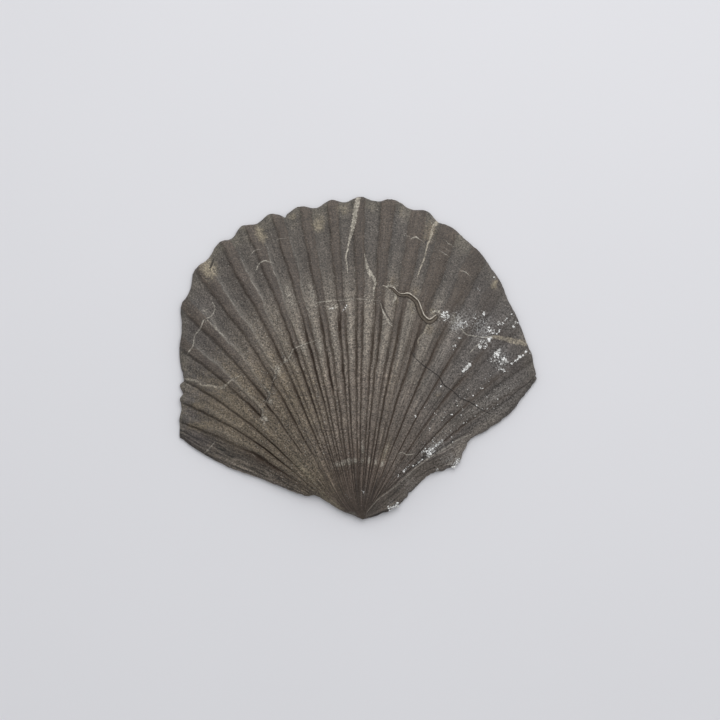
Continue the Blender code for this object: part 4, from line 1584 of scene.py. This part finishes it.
@dataclass(frozen=True)
class NodeSheet:
    """A node tree being written.  Most methods add one node and give back what it puts out."""

    tree: bpy.types.NodeTree

    def feed(self, socket: Socket, value: Value) -> None:
        """Links a socket to another one, or sets its number or colour.

        Args:
            socket: The input to feed.
            value: Another node's output, a number or a colour.
        """
        if isinstance(value, bpy.types.NodeSocket):
            self.tree.links.new(value, socket)
        elif isinstance(value, tuple) and len(value) < len(getattr(socket, "default_value", value)):
            socket.default_value = (*value, 1.0)
        else:
            socket.default_value = value

    def add(self, kind: str, inputs: dict[int | str, Value], **settings: object) -> bpy.types.Node:
        """Adds a shader node, sets its options and feeds its inputs.

        Args:
            kind: The node's type, without its prefix.
            inputs: What goes into which input.
            settings: Its options.

        Returns:
            The node.
        """
        node = self.tree.nodes.new("ShaderNode" + kind)
        for name, setting in settings.items():
            setattr(node, name, setting)
        for key, value in inputs.items():
            self.feed(node.inputs[key], value)
        return node

    def math(self, operation: str, *values: Value) -> Socket:
        """One sum, product or other operation on numbers."""
        return self.add("Math", dict(enumerate(values)), operation=operation).outputs[0]

    def times(self, first: Value, second: Value) -> Socket:
        """The product of two numbers."""
        return self.math("MULTIPLY", first, second)

    def scaled(self, value: Value, factor: Value, offset: Value) -> Socket:
        """A number times a factor, plus an offset."""
        return self.math("MULTIPLY_ADD", value, factor, offset)

    def step(self, value: Value, low: float, high: float, first: float = 0.0,
             last: float = 1.0) -> Socket:
        """A smooth step of a value, from first at low to last at high."""
        numbers = dict(enumerate((value, low, high, first, last)))
        return self.add("MapRange", numbers, interpolation_type="SMOOTHSTEP").outputs[0]

    def blend(self, share: Value, first: Value, second: Value, kind: str = "MIX") -> Socket:
        """One colour blended into another by a share."""
        node = self.add("Mix", {0: share, 6: first, 7: second}, data_type="RGBA", blend_type=kind)
        return node.outputs[2]

    def bright(self, colour: Socket, value: Value) -> Socket:
        """A colour made lighter or darker by a factor."""
        return self.add("HueSaturation", {"Color": colour, "Value": value}).outputs[0]

    def noise(self, place: Socket, size: float, detail: float = 2.0, uneven: float = 0.5,
              twist: float = 0.0) -> Socket:
        """Noise from 0 to 1.

        Args:
            place: Where it is read.
            size: About how large its features are, in metres.
            detail: How many finer layers it has.
            uneven: How strong the finer layers are.
            twist: How far it is distorted.

        Returns:
            The noise.
        """
        numbers = {"Vector": place, "Scale": 1.0 / size, "Detail": detail, "Roughness": uneven,
                   "Distortion": twist}
        return self.add("TexNoise", numbers).outputs[0]

    def channel(self, name: str) -> tuple[Socket, Socket, Socket]:
        """Reads the three numbers that the mesh carries under a name.

        Args:
            name: The channel's name.

        Returns:
            The three numbers.
        """
        node = self.add("Attribute", {}, attribute_name=name, attribute_type="GEOMETRY")
        split = self.add("SeparateXYZ", {0: node.outputs["Vector"]})
        return split.outputs[0], split.outputs[1], split.outputs[2]

    def group(self, tree: bpy.types.NodeTree, inputs: dict[str, Value]) -> dict[str, Socket]:
        """Places a node group.

        Args:
            tree: The group.
            inputs: What goes into its named inputs.

        Returns:
            Its outputs by name.
        """
        node = self.tree.nodes.new("ShaderNodeGroup")
        node.node_tree = tree
        for name, value in inputs.items():
            self.feed(node.inputs[name], value)
        return {socket.name: socket for socket in node.outputs}


def new_group(name: str, inputs: dict[str, str],
              outputs: dict[str, str]) -> tuple[NodeSheet, Sockets, Sockets]:
    """Makes an empty node group with its sockets and its two end nodes.

    Args:
        name: The group's name.
        inputs: Its inputs, each with the kind of value.
        outputs: Its outputs, in the same way.

    Returns:
        The sheet to write its nodes on, the sockets that bring its inputs and those that take its
        outputs.
    """
    tree = bpy.data.node_groups.new(name, "ShaderNodeTree")
    for sockets, way in ((inputs, "INPUT"), (outputs, "OUTPUT")):
        for label, kind in sockets.items():
            tree.interface.new_socket(label, in_out=way, socket_type="NodeSocket" + kind)
    inlet = tree.nodes.new("NodeGroupInput").outputs
    return NodeSheet(tree), inlet, tree.nodes.new("NodeGroupOutput").inputs


class Effects:
    """The effects that the finishes share, each a node group built once."""

    def __init__(self) -> None:
        """Builds the groups."""
        self.grain = self.make_grain()
        self.line = self.make_line()
        self.dust = self.make_dust()

    def make_grain(self) -> bpy.types.NodeTree:
        """Makes the stone's grain: fine noise on coarse noise, and scattered pale specks.

        Returns:
            A group that gives a brightness about 1, a height in millimetres, and the specks.
        """
        sheet, inlet, outlet = new_group(
            "stone_grain", {"Place": "Vector", "Amount": "Float"},
            {"Shade": "Float", "Height": "Float", "Specks": "Float"})
        fine = sheet.noise(inlet["Place"], 0.60 * MM, 2.0, 0.8)
        coarse = sheet.noise(inlet["Place"], 2.4 * MM, 3.0, 0.6, 0.4)
        both = sheet.math("ADD", sheet.times(fine, 3.7), sheet.times(coarse, 0.5))
        centred = sheet.math("SUBTRACT", both, 2.10)
        shade = sheet.scaled(centred, inlet["Amount"], 1.0)
        sheet.feed(outlet["Shade"], sheet.math("MAXIMUM", shade, 0.25))
        sheet.feed(outlet["Height"], sheet.times(centred, 0.10))
        bits = sheet.noise(inlet["Place"], 0.55 * MM, 1.0, 0.5)
        sheet.feed(outlet["Specks"], sheet.step(bits, 0.65, 0.77))
        return sheet.tree

    def make_line(self) -> bpy.types.NodeTree:
        """Makes a drawn line with wavering and broken edges.

        Returns:
            A group that gives how much of the line shows at a place.
        """
        sheet, inlet, outlet = new_group(
            "drawn_line", {"Place": "Vector", "Across": "Float", "Strength": "Float",
                           "Waver": "Float", "Gaps": "Float"}, {"Mask": "Float"})
        waver = sheet.math("SUBTRACT", sheet.noise(inlet["Place"], 0.7 * MM, 3.0, 0.6), 0.5)
        moved = sheet.scaled(waver, inlet["Waver"], inlet["Across"])
        body = sheet.step(sheet.math("ABSOLUTE", moved), 0.65, 1.25, 1.0, 0.0)
        patchy = sheet.step(sheet.noise(inlet["Place"], 1.6 * MM, 2.0), 0.36, 0.56)
        gaps = sheet.times(inlet["Gaps"], sheet.math("SUBTRACT", 1.0, patchy))
        kept = sheet.math("SUBTRACT", 1.0, gaps)
        shown = sheet.times(body, inlet["Strength"])
        sheet.feed(outlet["Mask"], sheet.times(shown, kept))
        return sheet.tree

    def make_dust(self) -> bpy.types.NodeTree:
        """Makes white dust: specks in small uneven clumps, thicker where the amount is greater.

        Returns:
            A group that gives how much of the dust shows at a place.
        """
        sheet, inlet, outlet = new_group(
            "mineral_dust", {"Place": "Vector", "Amount": "Float"}, {"Mask": "Float"})
        clump = sheet.noise(inlet["Place"], 2.4 * MM, 3.0, 0.6)
        fine = sheet.noise(inlet["Place"], 0.36 * MM, 2.0, 0.6)
        both = sheet.math("ADD", sheet.times(clump, 0.45), fine)
        limit = sheet.scaled(inlet["Amount"], -0.20, 0.985)
        above = sheet.math("SUBTRACT", both, limit)
        sheet.feed(outlet["Mask"], sheet.step(above, 0.0, 0.05))
        return sheet.tree


def new_material(name: str) -> tuple[bpy.types.Material, NodeSheet, bpy.types.Node]:
    """Makes a material with its shader.

    Args:
        name: The material's name.

    Returns:
        The material, the sheet to write its nodes on, and its Principled BSDF.
    """
    material = bpy.data.materials.new(name)
    material.use_nodes = True
    return material, NodeSheet(material.node_tree), material.node_tree.nodes["Principled BSDF"]


@dataclass(frozen=True)
class StoneFinish:
    """Dark stone: speckled flats, smooth brown rib bands and grooves darkened by grime and painted
    shade, with pale rib edges painted as highlights, stains, veins, and cracks painted as shade.
    """

    beak: Colour = (0.108, 0.082, 0.065)
    inner: Colour = (0.148, 0.122, 0.100)
    middle: Colour = (0.172, 0.149, 0.123)
    outer: Colour = (0.0745, 0.0642, 0.0545)
    rim: Colour = (0.100, 0.088, 0.070)
    band: Colour = (0.077, 0.061, 0.049)
    # Painted shade and grime: the colour that darkens each groove and the soft slope beside it.
    shade_and_dirt: Colour = (0.043, 0.028, 0.018)
    # Painted highlight: the pale colour along the lit edges of the ribs' bands.
    edge: Colour = (0.36, 0.335, 0.29)
    speck: Colour = (0.40, 0.375, 0.33)
    drift: Colour = (0.46, 0.49, 0.45)
    olive: Colour = (0.138, 0.111, 0.079)
    graphite: Colour = (0.094, 0.083, 0.077)
    beige: Colour = (0.250, 0.212, 0.150)
    pale: Colour = (0.270, 0.246, 0.208)
    dark: Colour = (0.058, 0.048, 0.044)
    rock: Colour = (0.124, 0.106, 0.089)
    # Painted shade: the dark colour drawn inside the cracks.
    crack: Colour = (0.022, 0.018, 0.015)
    vein: Colour = (0.360, 0.335, 0.285)
    tan: Colour = (0.300, 0.245, 0.165)
    white: Colour = (0.60, 0.61, 0.60)

    def ground(self, sheet: NodeSheet, mottle: Socket, torn: Socket) -> Socket:
        """The colour of the bare stone: browner by the beak, palest in the middle, with its stains,
        and with painted shading that makes each flat between the ribs lighter in its middle.

        Args:
            sheet: Where the nodes are written.
            mottle: Broad noise.
            torn: Small noise about zero, which tears the edges of the stains.

        Returns:
            The colour.
        """
        band = sheet.channel("depths")[2]
        across = sheet.channel("grooves")[2]
        olive, graphite, beige = sheet.channel("stains")
        share, pale, dark = sheet.channel("growth")

        def patch(amount: Socket, low: float, high: float) -> Socket:
            """A painted amount with a torn edge, and nothing where nothing is painted."""
            frayed = sheet.scaled(torn, 1.5, amount)
            return sheet.times(sheet.step(frayed, low, high), sheet.step(amount, 0.02, 0.3))

        uneven = sheet.scaled(mottle, 0.16, sheet.math("SUBTRACT", share, 0.08))
        stone = sheet.blend(sheet.step(uneven, 0.12, 0.34), self.beak, self.inner)
        stone = sheet.blend(sheet.step(uneven, 0.42, 0.56), stone, self.middle)
        stone = sheet.blend(sheet.step(uneven, 0.66, 0.84), stone, self.outer)
        stone = sheet.blend(sheet.step(uneven, 0.93, 1.0), stone, self.rim)
        stone = sheet.blend(sheet.times(graphite, 0.8), stone, self.graphite)
        stone = sheet.blend(patch(olive, 0.15, 1.1), stone, self.olive)
        frayed = sheet.scaled(torn, 0.35, across)
        banded = sheet.times(band, sheet.step(frayed, 0.86, 1.06, 0.95, 0.0))
        # Painted shading: the flats between the ribs are lighter in their middles, darker at their
        # edges.
        stone = sheet.bright(stone, sheet.step(across, 1.0, 1.9, 0.93, 1.12))
        stone = sheet.blend(banded, stone, self.band)
        stone = sheet.blend(sheet.times(dark, 0.75), stone, self.dark)
        stone = sheet.blend(sheet.times(patch(pale, 0.2, 0.8), 0.75), stone, self.pale)
        stone = sheet.blend(sheet.times(patch(beige, 0.20, 0.95), 0.75), stone, self.beige)
        drift = sheet.step(torn, -0.25, 0.25, 0.0, 0.14)
        stone = sheet.blend(drift, stone, self.drift, "SOFT_LIGHT")
        return sheet.bright(stone, sheet.step(mottle, 0.25, 0.75, 0.82, 1.18))

    def ribbed(self, sheet: NodeSheet, stone: Socket, torn: Socket) -> Socket:
        """Adds the broken pale edges of the ribs, painted as highlights, the streaks along them, and
        the grooves, darkened by grime and painted shade.

        Args:
            sheet: Where the nodes are written.
            stone: The colour so far.
            torn: Small noise about zero, which frays every edge.

        Returns:
            The colour.
        """
        to_left, to_right, _ = sheet.channel("grooves")
        left, right, _ = sheet.channel("depths")
        gap, edge, streak = sheet.channel("edges")
        stone = sheet.bright(stone, sheet.math("ADD", streak, 1.0))
        # Painted highlight on each band's edge: a faint pale spread beside it and a broken bright line.
        highlight = sheet.times(edge, sheet.step(gap, 0.0, 0.20, 0.16, 0.0))
        stone = sheet.blend(highlight, stone, self.edge)
        line = sheet.step(sheet.scaled(torn, 0.12, gap), 0.010, 0.040, 1.0, 0.0)
        broken = sheet.times(line, sheet.step(torn, -0.08, 0.12, 0.0, 1.0))
        stone = sheet.blend(sheet.times(edge, broken), stone, self.edge)
        # The grooves are painted dark with grime and painted shade: a crisp core and a soft spread.
        for distance, depth in ((to_left, left), (to_right, right)):
            frayed = sheet.scaled(torn, 0.13, distance)
            groove = sheet.step(frayed, 0.010, 0.080, 0.74, 0.0)
            soft = sheet.step(frayed, 0.0, 0.24, 0.52, 0.0)
            soft = sheet.times(soft, sheet.math("SUBTRACT", 1.0, groove))
            groove = sheet.math("ADD", groove, soft)
            stone = sheet.blend(sheet.times(groove, depth), stone, self.shade_and_dirt)
        return stone

    def marked(self, sheet: NodeSheet, effects: Effects, place: Socket,
               stone: Socket, shade: Socket) -> tuple[Socket, Socket]:
        """Draws the veins, the arcs, the cracks as dark lines of painted shade, and the white dust.

        Args:
            sheet: Where the nodes are written.
            effects: The shared effects.
            place: The places on the piece.
            stone: The colour so far.
            shade: The grain's brightness.

        Returns:
            The colour, and the height of the marks in millimetres.
        """
        height: Value = 0.0
        for kind, waver, gaps, colour, carve in (
                (Mark.VEIN, 2.2, 0.5, self.vein, 0.05), (Mark.ARC, 1.6, 0.5, self.vein, 0.03),
                (Mark.CRACK, 1.9, 0.35, self.crack, -0.25)):
            across, strength, warmth = sheet.channel(kind.value)
            mask = sheet.group(effects.line, {"Place": place, "Across": across,
                                              "Strength": strength, "Waver": waver,
                                              "Gaps": gaps})["Mask"]
            if kind is not Mark.CRACK:
                colour = sheet.bright(sheet.blend(warmth, colour, self.tan), shade)
            stone = sheet.blend(mask, stone, colour)
            height = sheet.scaled(mask, carve, height)
        chalk = sheet.channel("rubs")[1]
        dust = sheet.group(effects.dust, {"Place": place, "Amount": chalk})["Mask"]
        stone = sheet.blend(sheet.times(dust, 0.85), stone, self.white)
        haze = sheet.times(chalk, sheet.step(shade, 0.85, 1.35, 0.0, 0.34))
        return sheet.blend(haze, stone, self.white), sheet.scaled(dust, 0.06, height)

    def make(self, effects: Effects) -> bpy.types.Material:
        """Makes the material: dull stone, a little smoother on the ribs' bands, rough where broken.

        Args:
            effects: The shared effects.

        Returns:
            The material.
        """
        material, sheet, shader = new_material("dark_stone")
        place = sheet.add("TexCoord", {}).outputs["Object"]
        mottle = sheet.noise(place, 7.0 * MM, 4.0, 0.6, 0.6)
        torn = sheet.math("SUBTRACT", sheet.noise(place, 1.3 * MM, 4.0, 0.68, 0.4), 0.5)
        speck, _, broken = sheet.channel("rubs")
        band = sheet.channel("depths")[2]
        share = sheet.channel("growth")[0]
        amount = sheet.scaled(speck, 0.74, 0.68)
        grain = sheet.group(effects.grain, {"Place": place, "Amount": amount})
        stone = sheet.blend(broken, self.ground(sheet, mottle, torn), self.rock)
        rings = sheet.math("SINE", sheet.scaled(share, 620.0, sheet.times(mottle, 9.0)))
        ringed = sheet.times(rings, sheet.step(share, 0.55, 0.85))
        stone = sheet.bright(stone, sheet.scaled(ringed, 0.035, 1.0))
        stone = self.ribbed(sheet, sheet.bright(stone, grain["Shade"]), torn)
        points = sheet.times(grain["Specks"], sheet.scaled(speck, 0.72, 0.04))
        stone = sheet.blend(points, stone, self.speck)
        stone, carved = self.marked(sheet, effects, place, stone, grain["Shade"])
        height = sheet.scaled(grain["Height"], sheet.scaled(broken, 1.6, 1.0), carved)
        height = sheet.scaled(ringed, 0.012, height)
        height = sheet.scaled(torn, 0.18, height)
        dull = sheet.scaled(grain["Shade"], 0.12, 0.50)
        dull = sheet.scaled(band, -0.08, dull)
        sheet.feed(shader.inputs["Roughness"], sheet.scaled(broken, 0.18, dull))
        sheet.feed(shader.inputs["Base Color"], stone)
        bump = sheet.add("Bump", {"Height": height, "Distance": MM, "Strength": 0.9})
        sheet.feed(shader.inputs["Normal"], bump.outputs[0])
        shader.inputs["Specular IOR Level"].default_value = 0.4
        return material


@dataclass(frozen=True)
class LimeFinish:
    """The worm tube's lime: a pale rim that is partly a painted highlight on its lit upper side,
    brown painted shade on its lower side and inside its rim, and stone-coloured flanks.
    """

    flank: Colour = (0.130, 0.106, 0.081)
    # The rim's pale colour is partly a painted highlight on its lit upper side.
    rim: Colour = (0.62, 0.57, 0.49)
    # Painted shade: the dark brown of the tube's lower side and of the inner face of its rim.
    shaded_side: Colour = (0.038, 0.028, 0.021)

    def make(self, effects: Effects) -> bpy.types.Material:
        """Makes the material: three colours by the tube's painted channel, with the shared grain.

        Args:
            effects: The shared effects.

        Returns:
            The material.
        """
        material, sheet, shader = new_material("tube_lime")
        place = sheet.add("TexCoord", {}).outputs["Object"]
        rim, shaded_side, _ = sheet.channel("tube")
        grain = sheet.group(effects.grain, {"Place": place, "Amount": 0.5})
        worn = sheet.step(sheet.noise(place, 1.4 * MM, 3.0), 0.28, 0.50, 0.3, 1.0)
        lime = sheet.blend(sheet.times(rim, worn), self.flank, self.rim)
        lime = sheet.bright(sheet.blend(shaded_side, lime, self.shaded_side), grain["Shade"])
        dust = sheet.group(effects.dust, {"Place": place, "Amount": 0.1})["Mask"]
        sheet.feed(shader.inputs["Base Color"], sheet.blend(dust, lime, (0.55, 0.54, 0.50)))
        sheet.feed(shader.inputs["Roughness"], sheet.scaled(grain["Shade"], 0.1, 0.62))
        bump = sheet.add("Bump", {"Height": grain["Height"], "Distance": MM, "Strength": 0.8})
        sheet.feed(shader.inputs["Normal"], bump.outputs[0])
        return material


@dataclass(frozen=True)
class MineralFinish:
    """White crystals, some of them greyer than others."""

    white: Colour = (0.78, 0.78, 0.76)
    grey: Colour = (0.36, 0.35, 0.33)

    def make(self, effects: Effects) -> bpy.types.Material:
        """Makes the material: grey to white by each grain's own tone, with the shared grain.

        Args:
            effects: The shared effects.

        Returns:
            The material.
        """
        material, sheet, shader = new_material("white_mineral")
        place = sheet.add("TexCoord", {}).outputs["Object"]
        tone = sheet.channel("tone")[0]
        grain = sheet.group(effects.grain, {"Place": place, "Amount": 0.35})
        body = sheet.blend(sheet.step(tone, 0.05, 0.6), self.grey, self.white)
        sheet.feed(shader.inputs["Base Color"], sheet.bright(body, grain["Shade"]))
        sheet.feed(shader.inputs["Roughness"], sheet.scaled(tone, 0.2, 0.42))
        bump = sheet.add("Bump", {"Height": grain["Height"], "Distance": MM, "Strength": 0.5})
        sheet.feed(shader.inputs["Normal"], bump.outputs[0])
        return material


@dataclass(frozen=True)
class Studio:
    """The pale floor, the soft light and the camera that looks straight down."""

    frame_width: float = 281.2 * MM
    look_at: tuple[float, float, float] = (0.72 * MM, -0.85 * MM, 6.0 * MM)
    lens: float = 300.0
    sensor: float = 36.0
    floor_size: float = 3.0
    floor_colour: Colour = (0.685, 0.683, 0.704)
    sky: Colour = (0.97, 0.98, 1.0)
    ambient: float = 0.645
    lean: tuple[float, float, float] = (0.13, 0.92, 0.25)
    key_power: float = 2.3
    key_size: float = 0.6
    key_place: tuple[float, float, float] = (0.12, 0.42, 0.62)

    def floor(self) -> None:
        """Makes the floor: a pale card with the faintest unevenness."""
        half = self.floor_size
        mesh = bpy.data.meshes.new("floor")
        mesh.from_pydata([(-half, -half, 0.0), (half, -half, 0.0), (half, half, 0.0),
                          (-half, half, 0.0)], [], [(0, 1, 2, 3)])
        material, sheet, shader = new_material("pale_card")
        place = sheet.add("TexCoord", {}).outputs["Object"]
        cloudy = sheet.noise(place, 0.12, 2.0)
        sheet.feed(shader.inputs["Base Color"], sheet.blend(
            cloudy, tuple(0.985 * part for part in self.floor_colour),
            tuple(1.015 * part for part in self.floor_colour)))
        shader.inputs["Roughness"].default_value = 0.85
        mesh.materials.append(material)
        floor = bpy.data.objects.new("floor", mesh)
        bpy.context.scene.collection.objects.link(floor)

    def light(self) -> None:
        """Makes the room's light, which is brighter to one side, and one wide soft light.

        The room's brightness is 1 plus the dot product of its lean with the way that it is seen.
        """
        world = bpy.data.worlds.new("soft_room")
        world.use_nodes = True
        sheet = NodeSheet(world.node_tree)
        way = sheet.add("TexCoord", {}).outputs["Generated"]
        lean = sheet.add("VectorMath", {0: way, 1: self.lean}, operation="DOT_PRODUCT")
        background = world.node_tree.nodes["Background"]
        background.inputs["Color"].default_value = (*self.sky, 1.0)
        strength = sheet.scaled(lean.outputs["Value"], self.ambient, self.ambient)
        sheet.feed(background.inputs["Strength"], strength)
        bpy.context.scene.world = world
        lamp = bpy.data.lights.new("key", "AREA")
        lamp.shape = "DISK"
        lamp.size = self.key_size
        lamp.energy = self.key_power
        key = bpy.data.objects.new("key", lamp)
        key.location = self.key_place
        key.rotation_euler = (-Vector(self.key_place)).to_track_quat("-Z", "Y").to_euler()
        bpy.context.scene.collection.objects.link(key)

    def camera(self) -> None:
        """Makes the camera, straight above, from far enough to see the valve without perspective."""
        lens = bpy.data.cameras.new("camera")
        lens.lens = self.lens
        lens.sensor_width = self.sensor
        lens.clip_start, lens.clip_end = 0.01, 10.0
        camera = bpy.data.objects.new("camera", lens)
        distance = self.frame_width * self.lens / self.sensor
        camera.location = Vector(self.look_at) + Vector((0.0, 0.0, distance))
        bpy.context.scene.collection.objects.link(camera)
        bpy.context.scene.camera = camera

    def build(self) -> None:
        """Makes the floor, the lights and the camera."""
        bpy.context.scene.view_settings.view_transform = "Standard"
        self.floor()
        self.light()
        self.camera()


def main() -> None:
    """Builds the pieces in order and reports each."""
    effects = Effects()
    valve = FossilValve()
    valve.build(StoneFinish().make(effects))
    WormTube(valve).build(LimeFinish().make(effects))
    MineralGrains(valve).build(MineralFinish().make(effects))
    Studio().build()


if __name__ == "__main__":
    main()
